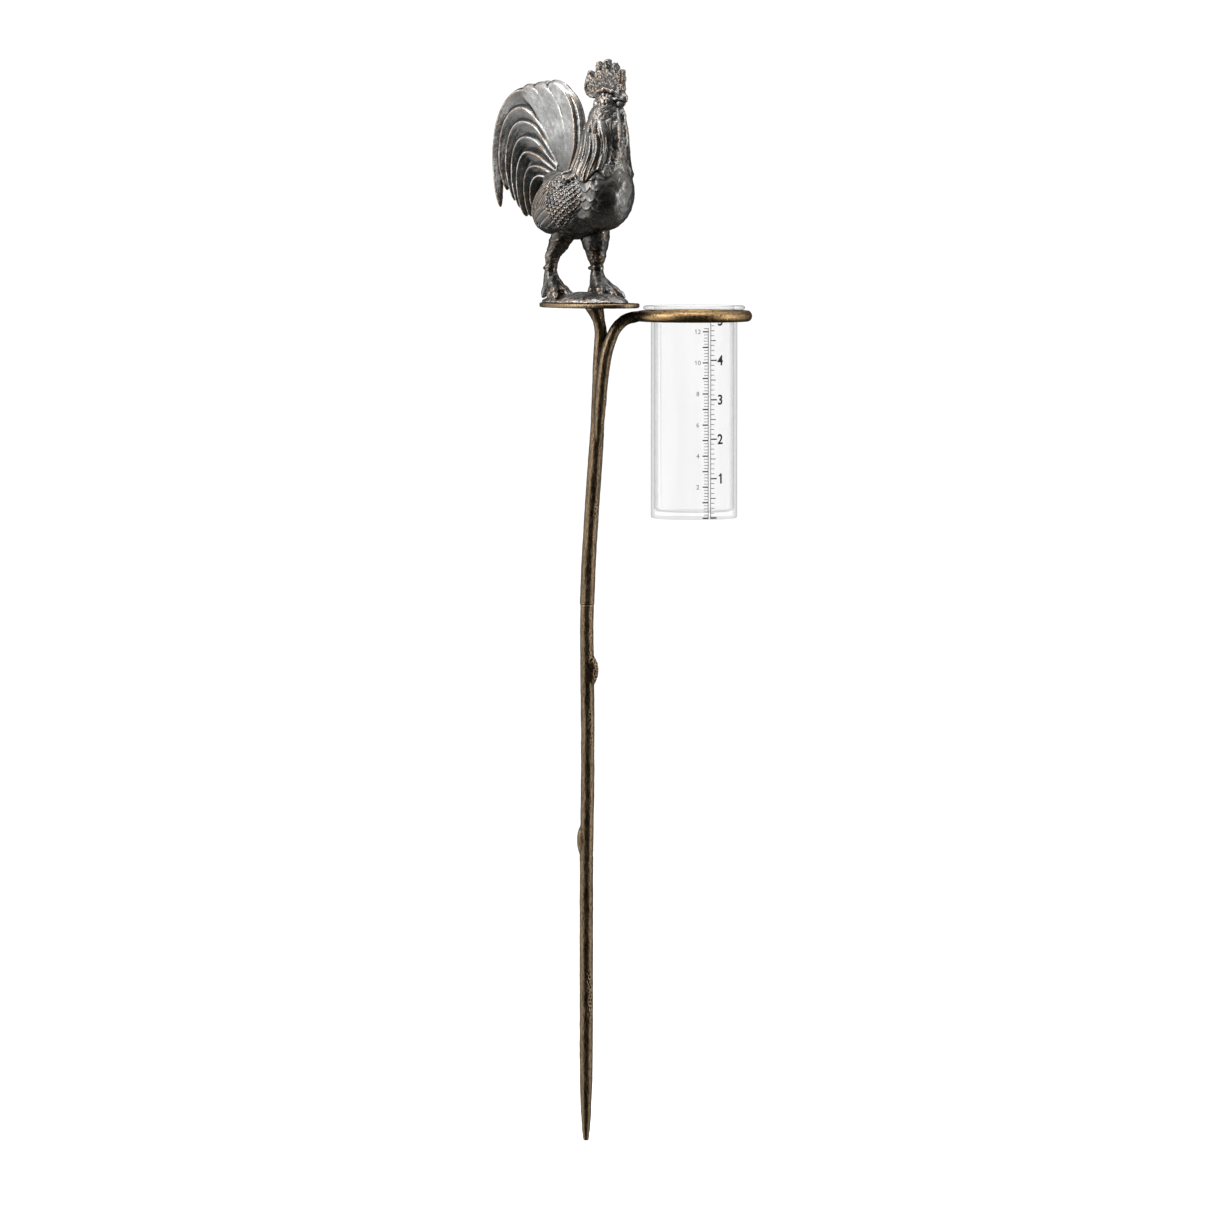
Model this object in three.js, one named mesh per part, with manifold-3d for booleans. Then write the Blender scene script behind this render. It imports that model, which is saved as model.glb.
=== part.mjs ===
// A garden rain gauge: a cast rooster stands on a small oval plate at the top of a branch-like ground
// stake, and a ring beside the plate holds a clear measuring tube. Millimetres, +Z up. The origin is the
// blunt tip of the ground spike. Seen from the front (looking along +Y) the ring is on the right, +X.

import * as THREE from "three";
import { mergeVertices } from "three/addons/utils/BufferGeometryUtils.js";
import Module from "manifold-3d";

// ---- Driving dimensions ----

const GAP = 0.3; // clearance between neighbouring pieces

// Ground stake, in two lengths joined by a threaded stud
const SEAM_Z = 349; // height of the joint between the two lengths
const STAKE_RADIUS = 4.5;
const BRANCH_RADIUS = 3.5; // the two thinner rods of the fork
const STUD_RADIUS = 3;
const STUD_DEPTH_BELOW = 10; // thread engaged in the lower spike
const STUD_DEPTH_ABOVE = 14;

// Oval plate that carries the rooster
const PLATE_TOP = 544.4;
const PLATE_THICKNESS = 3;
const PLATE_HALF_LENGTH = 38;
const PLATE_HALF_WIDTH = 24;
const PLATE_X = 2.3;
const HEADING_DEG = -42; // the rooster faces right and towards the front

// Ring and measuring tube
const RING_X = 70;
const RING_Z = 536;
const RING_RADIUS = 33.75; // to the middle of the round section
const RING_SECTION_RADIUS = 3.75;
const TUBE_RADIUS = 28;
const TUBE_WALL = 2;
const TUBE_BASE_Z = 405.3;
const TUBE_BASE_THICKNESS = 4.5;
const TUBE_CORNER_RADIUS = 1.5; // outside, at the base
const TUBE_FLOOR_RADIUS = 3; // inside, round the floor
const FLANGE_RADIUS = 33;
const FLANGE_THICKNESS = 2.6;

// Printed scales on the tube, at true size
const SCALE_ZERO_Z = 406.5;
const CENTIMETRE_SCALE_HEIGHT = 122;
const INCH_SCALE_HEIGHT = 127;
const SCALE_ANGLE_DEG = 20; // from the front of the tube towards +X
const SPINE_SPACING = 1.7;
const FINE_LINE = 0.35;
const MEDIUM_LINE = 0.5;
const BOLD_LINE = 0.8;
const INK_STANDOFF = 0.12;
const INK_THICKNESS = 0.2;
const INCH = 25.4;

// Screws that hold the rooster to its plate
const SCREW_RADIUS = 2;
const SCREW_HEAD_RADIUS = 3.8; // countersunk, flush with the plate's underside
const SCREW_HEAD_HEIGHT = 2;
const SCREW_SLOT_WIDTH = 0.9;
const SCREW_SLOT_DEPTH = 0.8;
const SCREW_OFFSET = 19; // either side of the plate's middle, along the heading
const SCREW_REACH = 4; // into the mound

// Facets round the turned pieces
const STAKE_SIDES = 16;
const FASTENER_SIDES = 20;
const STUD_SIDES = 24;
const TUBE_SIDES = 40;
const PLATE_SIDES = 48;

// ---- Materials ----

const finish = (color, roughness, metalness) => ({ color, roughness, metalness });
const BRONZE = finish(0x4a3a28, 0.5, 0.9);
const PATINA = finish(0x3b3d3e, 0.45, 0.85);
const STEEL = finish(0x9a9c9e, 0.35, 1);
const INK = finish(0x202020, 0.6, 0);
const CLEAR = { ...finish(0xeef4f6, 0.05, 0), transparent: true, opacity: 0.3 };

// ---- Solid helpers ----

const wasm = await Module();
wasm.setup();

/** A closed three.js geometry as a solid that can be joined and cut. */
function solid(geometry) {
  geometry.deleteAttribute("normal");
  geometry.deleteAttribute("uv");
  const merged = mergeVertices(geometry, 1e-4);
  const vertProperties = new Float32Array(merged.attributes.position.array);
  const triVerts = new Uint32Array(merged.index.array);
  return new wasm.Manifold(new wasm.Mesh({ numProp: 3, vertProperties, triVerts }));
}

/** All the solids joined into one. */
const union = (solids) => solids.reduce((whole, next) => whole.add(next));

/** A vertical cylinder from z0 to z1. */
function cylinder(x, y, z0, z1, radius) {
  const shape = new THREE.CylinderGeometry(radius, radius, z1 - z0, STUD_SIDES);
  return solid(shape.rotateX(Math.PI / 2).translate(x, y, (z0 + z1) / 2));
}

/** An ellipsoid with its half axes along x, y and z, leaning about the y axis. */
function ellipsoid(centre, halfAxes, leanDeg = 0, sides = 16) {
  const shape = new THREE.SphereGeometry(1, sides, Math.round(sides * 0.6));
  shape.rotateX(Math.PI / 2).scale(...halfAxes);
  shape.rotateY(THREE.MathUtils.degToRad(leanDeg)).translate(...centre);
  return solid(shape);
}

/** A profile of [radius, z] points turned about the z axis; it starts and ends on the axis or is closed. */
function turned(profile, sides) {
  const points = profile.map(([radius, z]) => new THREE.Vector2(radius, z));
  return new THREE.LatheGeometry(points, sides).rotateX(Math.PI / 2);
}

/** A value read off a list of [position, value] stops, with straight lines between them. */
function between(stops, position) {
  const next = stops.findIndex(([at]) => at >= position);
  if (next < 0) return stops[stops.length - 1][1];
  if (next === 0) return stops[0][1];
  const [at0, value0] = stops[next - 1];
  const [at1, value1] = stops[next];
  return value0 + ((value1 - value0) * (position - at0)) / (at1 - at0);
}

/** A rod bent along a smooth path. Its half thickness across the bend and along it are read at 0..1. */
function bentRod(path, acrossAt, alongAt, sides = 10, steps = 16) {
  const curve = new THREE.CatmullRomCurve3(path.map((point) => new THREE.Vector3(...point)));
  const frames = curve.computeFrenetFrames(steps);
  const rod = new THREE.CylinderGeometry(1, 1, 1, sides, steps);
  const place = rod.attributes.position;
  for (let i = 0; i < place.count; i++) {
    const step = Math.round((place.getY(i) + 0.5) * steps);
    const share = step / steps;
    const spot = curve.getPointAt(share);
    spot.addScaledVector(frames.normals[step], place.getX(i) * acrossAt(share));
    spot.addScaledVector(frames.binormals[step], -place.getZ(i) * alongAt(share));
    place.setXYZ(i, spot.x, spot.y, spot.z);
  }
  return solid(rod);
}

/** A round bent rod whose radius runs evenly from one end to the other. */
function taperedRod(path, startRadius, endRadius, sides, steps) {
  const radiusAt = (share) => THREE.MathUtils.lerp(startRadius, endRadius, share);
  return bentRod(path, radiusAt, radiusAt, sides, steps);
}

const object = new THREE.Group();
object.name = "rain_gauge";

/** Adds one named piece to a group. */
function addPiece(group, name, shape, material) {
  const mesh = shape.getMesh();
  const geometry = new THREE.BufferGeometry();
  geometry.setAttribute("position", new THREE.BufferAttribute(mesh.vertProperties, 3));
  geometry.setIndex(new THREE.BufferAttribute(mesh.triVerts, 1));
  geometry.computeVertexNormals();
  const piece = new THREE.Mesh(geometry, new THREE.MeshStandardMaterial(material));
  piece.name = name;
  group.add(piece);
}

// ---- Ground stake ----

// How far the stake's centre line wanders sideways and in depth, by height.
const STAKE_X = [
  [0, 0], [91, 0.3], [180, 0.3], [222, 1], [263, 1.3], [326, 0.6], [349, 0.8], [378, 1.9],
  [420, 4.5], [461, 7.4], [485, 8.2], [508, 8.6], [526, 10], [535, 7.9], [541, 5.4],
];
const STAKE_Y = [[0, 0], [121, -0.8], [243, 0.7], [349, 0], [435, 0.8], [509, 2.2], [541, 2.2]];
const SEAM_X = between(STAKE_X, SEAM_Z);
const SEAM_Y = between(STAKE_Y, SEAM_Z);

/** A turned profile whose rings are then pushed sideways to follow the stake's centre line. */
function stakeLength(profile) {
  const shape = turned([[0, profile[0][1]], ...profile, [0, profile[profile.length - 1][1]]], STAKE_SIDES);
  const place = shape.attributes.position;
  for (let i = 0; i < place.count; i++) {
    const z = place.getZ(i);
    place.setXY(i, place.getX(i) + between(STAKE_X, z), place.getY(i) + between(STAKE_Y, z));
  }
  return solid(shape);
}

/** Heights from bottom to top in equal steps, each with its radius. */
function evenProfile(bottom, top, steps, radiusAt) {
  return Array.from({ length: steps + 1 }, (_, i) => {
    const z = THREE.MathUtils.lerp(bottom, top, i / steps);
    return [radiusAt(z), z];
  });
}

const TIP_PROFILE = [[1.9, 0], [2.15, 2.6], [2.75, 8], [3.1, 13], [3.45, 18], [3.85, 28], [4.2, 36]];
const lowerShaft = evenProfile(60, SEAM_Z - GAP / 2, 14, () => STAKE_RADIUS);
const lowerKnots = [
  ellipsoid([2.9, -0.6, 305.6], [5.5, 3.8, 10.5], 4, 12),
  ellipsoid([-1.9, 0.3, 194.6], [4.1, 3.8, 11], -4, 12),
];
const studHole = cylinder(SEAM_X, SEAM_Y, SEAM_Z - STUD_DEPTH_BELOW - 1, SEAM_Z + 1, STUD_RADIUS + GAP);
const lowerSpike = union([stakeLength([...TIP_PROFILE, ...lowerShaft]), ...lowerKnots]);
addPiece(object, "lower_spike", lowerSpike.subtract(studHole), BRONZE);

const studBottom = SEAM_Z - STUD_DEPTH_BELOW;
const studTop = SEAM_Z + STUD_DEPTH_ABOVE;
const studProfile = [
  [0, studBottom], [STUD_RADIUS - 0.8, studBottom], [STUD_RADIUS, studBottom + 0.8],
  [STUD_RADIUS, studTop - 0.8], [STUD_RADIUS - 0.8, studTop], [0, studTop],
];
const stud = solid(turned(studProfile, STUD_SIDES).translate(SEAM_X, SEAM_Y, 0));
addPiece(object, "joining_stud", stud, STEEL);

const plateUnderside = PLATE_TOP - PLATE_THICKNESS;
const branchTop = plateUnderside - GAP;
const STEM_RADII = [
  [0, STAKE_RADIUS], [445, STAKE_RADIUS], [496, BRANCH_RADIUS + 0.5], [533, BRANCH_RADIUS + 0.3], [541, 6],
];
const stemRadiusAt = (z) => between(STEM_RADII, z);
const stemProfile = evenProfile(SEAM_Z + GAP / 2, 515, 13, stemRadiusAt);
const flareProfile = evenProfile(520, branchTop, 5, stemRadiusAt);
const stem = stakeLength([...stemProfile, ...flareProfile]);
const socket = cylinder(SEAM_X, SEAM_Y, SEAM_Z - 1, studTop + 1, STUD_RADIUS + GAP);
addPiece(object, "upper_stake", stem.subtract(socket), BRONZE);

// The second rod lies along the front of the stem, is saddled to it, and bends away to the ring.
const stemClearance = stakeLength(evenProfile(405, branchTop, 26, (z) => stemRadiusAt(z) + GAP));
const ringOuterX = RING_X - RING_RADIUS - RING_SECTION_RADIUS;
const RING_BRANCH_PATH = [
  [7.5, -0.6, 451], [9.3, -2, 475], [10.8, -2.9, 494], [12.9, -3.2, 509],
  [15.6, -3, 519.4], [19.6, -2.2, 528], [25.5, -1, 533.6], [ringOuterX + 2, 0, RING_Z],
];
const ringBranchRadiusAt = (share) => between([[0, 2.6], [0.3, BRANCH_RADIUS], [1, BRANCH_RADIUS]], share);
const ringBranch = bentRod(RING_BRANCH_PATH, ringBranchRadiusAt, ringBranchRadiusAt, 12, 26);
const plateClearance = cylinder(0, 0, plateUnderside - GAP, PLATE_TOP, 120);

/** The ring as it lies in the object's own frame, grown outwards by some clearance. */
function ringForm(grow) {
  return new THREE.TorusGeometry(RING_RADIUS, RING_SECTION_RADIUS + grow, 12, TUBE_SIDES);
}
const ringClearance = solid(ringForm(GAP).translate(RING_X, 0, RING_Z));
const saddledBranch = ringBranch.subtract(stemClearance).subtract(plateClearance).subtract(ringClearance);
addPiece(object, "ring_branch", saddledBranch, BRONZE);

// ---- Ring ----

const ringGroup = new THREE.Group();
ringGroup.position.set(RING_X, 0, RING_Z);
object.add(ringGroup);
addPiece(ringGroup, "gauge_ring", solid(ringForm(0)), BRONZE);

// ---- Measuring tube ----

const tubeGroup = new THREE.Group();
tubeGroup.position.set(RING_X, 0, 0);
object.add(tubeGroup);

const flangeBottom = RING_Z + RING_SECTION_RADIUS + GAP;
const tubeTop = flangeBottom + FLANGE_THICKNESS;

/** Points on a quarter circle of [radius, z], turning outwards from straight down. */
function roundedCorner(centreRadius, centreZ, radius, steps) {
  return Array.from({ length: steps + 1 }, (_, i) => {
    const angle = (Math.PI / 2) * (i / steps);
    return [centreRadius + radius * Math.sin(angle), centreZ - radius * Math.cos(angle)];
  });
}

const outerCorner = roundedCorner(
  TUBE_RADIUS - TUBE_CORNER_RADIUS, TUBE_BASE_Z + TUBE_CORNER_RADIUS, TUBE_CORNER_RADIUS, 4,
);
const innerFloorZ = TUBE_BASE_Z + TUBE_BASE_THICKNESS;
const innerCorner = roundedCorner(
  TUBE_RADIUS - TUBE_WALL - TUBE_FLOOR_RADIUS, innerFloorZ + TUBE_FLOOR_RADIUS, TUBE_FLOOR_RADIUS, 3,
);
const tubeProfile = [
  [0, TUBE_BASE_Z],
  ...outerCorner,
  [TUBE_RADIUS, flangeBottom],
  [FLANGE_RADIUS - 0.5, flangeBottom],
  [FLANGE_RADIUS, flangeBottom + 0.5],
  [FLANGE_RADIUS, tubeTop - 0.6],
  [FLANGE_RADIUS - 0.6, tubeTop],
  [TUBE_RADIUS - TUBE_WALL + 0.8, tubeTop],
  [TUBE_RADIUS - TUBE_WALL, tubeTop - 0.8],
  ...innerCorner.reverse(),
  [0, innerFloorZ],
];
addPiece(tubeGroup, "gauge_tube", solid(turned(tubeProfile, TUBE_SIDES)), CLEAR);

/**
 * A printed ladder wrapped round the tube: an upright line with marks on one side of it. side is 1 for
 * marks towards +X and -1 for marks away from it. markAt gives each mark's length and line width by its
 * number.
 */
function printedScale(spineOffset, side, height, spacing, markAt) {
  const inner = spineOffset + (side * FINE_LINE) / 2;
  const outer = spineOffset - (side * FINE_LINE) / 2;
  const count = Math.floor(height / spacing + 0.01);
  const marks = Array.from({ length: count + 1 }, (_, i) => {
    const { length, line } = markAt(i);
    const end = spineOffset + side * length;
    const middle = i * spacing;
    const [low, high] = [middle - line / 2, middle + line / 2];
    return [[inner, low], [end, low], [end, high], [inner, high]];
  });
  const [bottom, top] = [marks[0][0][1], marks[count][3][1]];
  const outline = [[outer, bottom], ...marks.flat().slice(1, -1), [outer, top]];
  const shape = new THREE.Shape(outline.map(([s, z]) => new THREE.Vector2(s, z)));
  const print = new THREE.ExtrudeGeometry(shape, { depth: INK_THICKNESS, bevelEnabled: false });
  const place = print.attributes.position;
  for (let i = 0; i < place.count; i++) {
    const angle = THREE.MathUtils.degToRad(SCALE_ANGLE_DEG) + place.getX(i) / TUBE_RADIUS;
    const radius = TUBE_RADIUS + INK_STANDOFF + place.getZ(i);
    place.setXYZ(i, radius * Math.sin(angle), -radius * Math.cos(angle), SCALE_ZERO_Z + place.getY(i));
  }
  return solid(print);
}

const fineMark = (length) => ({ length, line: FINE_LINE });
const mediumMark = (length) => ({ length, line: MEDIUM_LINE });
const boldMark = (length) => ({ length, line: BOLD_LINE });
const centimetreMark = (i) => (i % 5 === 0 ? boldMark(3.7) : fineMark(2.8));
const inchMark = (i) => (i % 8 === 0 ? boldMark(4.3) : i % 4 === 0 ? mediumMark(3.5) : fineMark(2.5));
const centimetreScale = printedScale(-SPINE_SPACING / 2, -1, CENTIMETRE_SCALE_HEIGHT, 2, centimetreMark);
const inchScale = printedScale(SPINE_SPACING / 2, 1, INCH_SCALE_HEIGHT, INCH / 8, inchMark);
addPiece(tubeGroup, "centimetre_scale", centimetreScale, INK);
addPiece(tubeGroup, "inch_scale", inchScale, INK);

// ---- Plate and its screws ----
// In this group +X is the way the rooster faces, +Y its left side, and z = 0 the top of the plate.

const figure = new THREE.Group();
figure.position.set(PLATE_X, 0, PLATE_TOP);
figure.rotation.z = THREE.MathUtils.degToRad(HEADING_DEG);
object.add(figure);

const screwSpots = [["front", SCREW_OFFSET], ["rear", -SCREW_OFFSET]];
const headBottom = -PLATE_THICKNESS;
const headTop = headBottom + SCREW_HEAD_HEIGHT;

/** A countersunk screw, or with some clearance its hole, open at both ends. */
function screwForm(x, grow, reach) {
  const profile = [
    [0, headBottom - grow], [SCREW_HEAD_RADIUS + grow, headBottom - grow], [SCREW_RADIUS + grow, headTop],
    [SCREW_RADIUS + grow, reach], [0, reach],
  ];
  return solid(turned(profile, FASTENER_SIDES).translate(x, 0, 0));
}

const screwHoles = union(screwSpots.map(([, x]) => screwForm(x, GAP, SCREW_REACH + 2 * GAP)));

const plateShape = new THREE.CylinderGeometry(1, 1, PLATE_THICKNESS, PLATE_SIDES).rotateX(Math.PI / 2);
plateShape.scale(PLATE_HALF_LENGTH, PLATE_HALF_WIDTH, 1).translate(0, 0, -PLATE_THICKNESS / 2);
addPiece(figure, "perch_plate", solid(plateShape).subtract(screwHoles), BRONZE);

for (const [place, x] of screwSpots) {
  const slot = new THREE.BoxGeometry(3 * SCREW_HEAD_RADIUS, SCREW_SLOT_WIDTH, 2 * SCREW_SLOT_DEPTH);
  const screw = screwForm(x, 0, SCREW_REACH).subtract(solid(slot.translate(x, 0, headBottom)));
  addPiece(figure, "figure_screw_" + place, screw, STEEL);
}

// ---- Rooster ----

/** The rocky mound under the feet, grown outwards by some clearance. */
function moundForm(grow) {
  const dome = ellipsoid([-3.6, 0, 0], [33.6 + grow, 20.4 + grow, 8 + grow], 0, 24);
  const half = solid(new THREE.BoxGeometry(90, 70, 30).translate(-3, 0, 15 + GAP - grow));
  return dome.intersect(half);
}
addPiece(figure, "rooster_mound", moundForm(0).subtract(screwHoles), PATINA);

const COMB_OUTLINE = [
  [8, 132], [2, 131.6], [-3.4, 136], [-2.8, 142], [1, 150.6], [5, 146.5], [8.6, 157], [12, 151],
  [16.4, 158], [19.4, 151.5], [22.8, 155.6], [25.6, 150], [29.8, 151.4], [31, 145], [30.8, 137], [24, 131],
];
const COMB_THICKNESS = 6;

/** An upright plate lying along the middle of the rooster. */
function uprightPlate(outline, thickness) {
  const shape = new THREE.Shape(outline.map(([x, z]) => new THREE.Vector2(x, z)));
  const plate = new THREE.ExtrudeGeometry(shape, { depth: thickness, bevelEnabled: false });
  return solid(plate.rotateX(Math.PI / 2).translate(0, thickness / 2, 0));
}

/** Body, wings, breast, neck, head, beak, comb and wattles, grown outwards by some clearance. */
function bodyForm(grow) {
  const swell = (halfAxes) => halfAxes.map((half) => half + grow);
  const pair = (x, y, z, halfAxes, leanDeg, sides) => [
    ellipsoid([x, y, z], swell(halfAxes), leanDeg, sides),
    ellipsoid([x, -y, z], swell(halfAxes), leanDeg, sides),
  ];
  const neckPath = [[9, 0, 85], [12.5, 0, 97], [14.5, 0, 108], [15.3, 0, 118.5], [17, 0, 130]];
  return union([
    ellipsoid([-6, 0, 61], swell([31, 20, 20.5]), -10, 20),
    ellipsoid([13.8, 0, 72.5], swell([20.4, 20.6, 25.5]), 0, 20),
    ellipsoid([-21, 0, 72], swell([17, 14, 12.5]), 30, 14),
    ...pair(-11.5, 14.5, 64.5, [25.4, 9.3, 18.4], -30, 18),
    taperedRod(neckPath, 18.4 + grow, 9.2 + grow, 18, 10),
    ellipsoid([17.3, 0, 131.4], swell([10, 7.8, 7.4]), 0, 14),
    taperedRod([[20, 0, 135.6], [26.4, 0, 134.4], [32.2, 0, 130.6]], 5 + grow, 1.4 + grow, 10, 4),
    taperedRod([[21, 0, 129.2], [30, 0, 128.7]], 3.8 + grow, 1.4 + grow, 10, 2),
    ...pair(26.2, 3.6, 112, [3.7, 3, 12.5], 0, 10),
    uprightPlate(COMB_OUTLINE, COMB_THICKNESS + 2 * grow),
  ]);
}
addPiece(figure, "rooster_body", bodyForm(0), PATINA);
const bodyClearance = bodyForm(GAP);
const moundClearance = moundForm(GAP);

// Toes, by direction from straight ahead in degrees (outwards positive), with their reach.
const TOES = [[0, 16], [38, 17], [-38, 13.5], [180, 6.5]];

/** One leg: thigh, shank, spur and four toes. side is 1 for the rooster's left leg, -1 for its right. */
function legForm(x, side, lean, girth) {
  const y = 8 * side;
  const legPath = [
    [x + 1.1 * lean, y, 52], [x + 0.8 * lean, y, 43.5], [x + 0.45 * lean, y, 37],
    [x + 0.1 * lean, y, 30], [x, y, 22], [x, y, 10],
  ];
  const legRadii = [
    [0, 10.5], [0.2, 8.6 * girth], [0.36, 7 * girth], [0.53, 5.2 * girth], [0.72, 3.8], [1, 4],
  ];
  const legRadiusAt = (share) => between(legRadii, share);
  const toe = ([angleDeg, reach]) => {
    const angle = THREE.MathUtils.degToRad(angleDeg * side);
    const at = (share, z) => [x + share * reach * Math.cos(angle), y + share * reach * Math.sin(angle), z];
    return taperedRod([at(0.05, 16), at(0.35, 12), at(0.68, 8.4), at(1.02, 5)], 3.1, 1.6, 8, 4);
  };
  return union([
    bentRod(legPath, legRadiusAt, legRadiusAt, 12, 12),
    taperedRod([[x - 2, y, 22.5], [x - 6.4, y - 0.6 * side, 22.4]], 2.1, 1.3, 8, 2),
    ellipsoid([x + 3.5, y, 8], [7, 6, 6], 0, 10),
    ...TOES.map(toe),
  ]).subtract(bodyClearance).subtract(moundClearance);
}
addPiece(figure, "rooster_right_leg", legForm(-26.4, -1, 13, 0.85), PATINA);
addPiece(figure, "rooster_left_leg", legForm(-0.5, 1, -2.5, 1.1), PATINA);

// The tail: upright broad feathers in front and nested sickle feathers that curl back and down. Each is a
// path of [x, z] from root to tip, with its half width and half thickness.
const BROAD_FEATHERS = [
  [[[-25, 85], [-29, 102], [-36, 118], [-44, 130], [-51, 137]], 6.6, 4],
  [[[-22, 85], [-22, 100], [-25, 116], [-31, 129], [-39, 139]], 6.8, 4.4],
  [[[-18, 85], [-14.5, 99], [-14, 113], [-17, 126], [-23.5, 135], [-31, 141.5]], 6.6, 4.8],
  [[[-11, 90], [-8, 100], [-7, 112], [-8.5, 122], [-13, 130], [-20, 136]], 2.8, 3.6],
];
const SICKLES = [
  [[[-27, 88], [-33, 107], [-43, 123], [-56, 133], [-68, 128], [-76, 115], [-79.2, 92], [-78, 62]], 5.4, 4],
  [[[-27, 89], [-35, 103], [-45, 115], [-55, 122], [-64, 120], [-70, 112], [-74, 96], [-72, 73]], 4.8, 4.6],
  [[[-27, 88], [-36, 100], [-46, 111], [-56, 114], [-63, 110], [-67, 99], [-68, 85], [-65, 66]], 4.4, 5.2],
  [[[-27, 87], [-36, 95], [-45.5, 102], [-54, 104], [-59.5, 99], [-62.5, 84], [-60.3, 61]], 4.2, 5.8],
  [[[-27, 84], [-36, 89], [-44.5, 93], [-52, 94], [-56.3, 87], [-57.4, 72], [-54.8, 56]], 3.9, 6.4],
  [[[-27, 81], [-35, 84], [-42, 86], [-47.6, 85], [-50.6, 78], [-51.4, 68], [-50.8, 56]], 3.6, 6.9],
  [[[-27, 78], [-35, 79.5], [-40.5, 80], [-44.5, 76], [-46.4, 69], [-47, 59]], 3.2, 7.2],
];
const TAIL_WEB = [
  [-20, 78], [-10, 91], [-6.5, 103], [-5.5, 114], [-7, 123], [-12, 131], [-22, 139], [-35, 143],
  [-48, 141], [-60, 135], [-71, 125], [-77, 113], [-79, 100], [-78, 83], [-72, 74], [-62, 66],
  [-54, 60], [-46, 62], [-34, 70],
];
const TAIL_WEB_THICKNESS = 3.6;
const BROAD_TAPER = [[0, 0.62], [0.3, 1], [0.85, 1], [0.95, 0.75], [1, 0.35]];
const SICKLE_TAPER = [[0, 0.62], [0.3, 1], [0.55, 1], [0.8, 0.82], [0.95, 0.45], [1, 0.15]];

/** A feather of the tail, flat and upright, that narrows by the taper's stops from root to tip. */
function tailFeather([path, halfWidth, halfThickness], taper) {
  const thickAt = (share) => halfThickness * (0.5 + 0.5 * between(taper, share));
  const wideAt = (share) => halfWidth * between(taper, share);
  return bentRod(path.map(([x, z]) => [x, 0, z]), thickAt, wideAt, 8, 14);
}

const tail = union([
  uprightPlate(TAIL_WEB, TAIL_WEB_THICKNESS),
  taperedRod([[-18, 0, 74], [-28, 0, 77]], 8.5, 6.5, 12, 2),
  ...BROAD_FEATHERS.map((feather) => tailFeather(feather, BROAD_TAPER)),
  ...SICKLES.map((feather) => tailFeather(feather, SICKLE_TAPER)),
]);
addPiece(figure, "rooster_tail", tail.subtract(bodyClearance), PATINA);

export default object;
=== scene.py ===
import math

import bmesh
import bpy
import numpy as np
from mathutils import Matrix, Vector


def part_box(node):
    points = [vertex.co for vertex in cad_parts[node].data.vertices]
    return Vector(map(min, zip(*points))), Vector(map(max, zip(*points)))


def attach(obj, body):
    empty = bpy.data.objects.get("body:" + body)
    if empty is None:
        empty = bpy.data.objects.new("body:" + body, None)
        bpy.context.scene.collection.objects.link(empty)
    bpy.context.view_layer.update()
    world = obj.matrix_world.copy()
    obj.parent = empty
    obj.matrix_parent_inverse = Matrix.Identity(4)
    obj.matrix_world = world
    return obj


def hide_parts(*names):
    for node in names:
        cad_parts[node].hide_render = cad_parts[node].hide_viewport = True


# Looks of the garden rain gauge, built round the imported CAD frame. The rooster is carved from distance
# fields in its own frame, in millimetres: u forward, v to its left and w up from the top of the plate.
# Everything else is in metres, along the frame's axes.

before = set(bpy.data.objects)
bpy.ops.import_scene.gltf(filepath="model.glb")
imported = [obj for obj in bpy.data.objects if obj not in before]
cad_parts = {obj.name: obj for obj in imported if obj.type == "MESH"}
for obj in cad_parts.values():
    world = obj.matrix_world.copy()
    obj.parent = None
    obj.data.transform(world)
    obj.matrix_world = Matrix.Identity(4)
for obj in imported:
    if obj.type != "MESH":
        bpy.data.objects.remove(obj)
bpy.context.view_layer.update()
MM = 0.001

# ---- Places taken from the frame ----


def middle(node):
    """The middle of a CAD node's box."""
    low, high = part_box(node)
    return (low + high) / 2


def figure_matrix():
    """From the rooster's frame in millimetres to the object's frame in metres."""
    plate_low, plate_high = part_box("perch_plate")
    centre = (plate_low + plate_high) / 2
    ahead = middle("figure_screw_front") - middle("figure_screw_rear")
    turn = math.atan2(ahead.y, ahead.x)
    place = Matrix.Translation((centre.x, centre.y, plate_high.z))
    return place @ Matrix.Rotation(turn, 4, "Z") @ Matrix.Scale(MM, 4)


FIGURE = figure_matrix()

# ---- Noise ----

LATTICE_SIZE = 32
LATTICE = np.random.default_rng(11).random((LATTICE_SIZE,) * 3).astype(np.float32)
JITTER = np.random.default_rng(12).random((LATTICE_SIZE,) * 3 + (3,)).astype(np.float32)


def smooth_noise(points, cell):
    """Soft random values from -1 to 1 that vary over a distance of about cell."""
    scaled = np.asarray(points, np.float32) / np.float32(cell)
    base = np.floor(scaled)
    part = scaled - base
    part = part * part * (3 - 2 * part)
    base = base.astype(int)
    total = np.zeros(len(scaled), np.float32)
    for corner in np.ndindex(2, 2, 2):
        index = (base + corner) % LATTICE_SIZE
        weight = np.prod(np.where(corner, part, 1 - part), axis=1)
        total += weight * LATTICE[index[:, 0], index[:, 1], index[:, 2]]
    return total * 2 - 1


def layered_noise(points, cell, layers=3):
    """Soft noise with finer and weaker layers on top."""
    return sum(smooth_noise(np.asarray(points) + 7.3 * n, cell / 2**n) / 2**n for n in range(layers))


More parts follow.
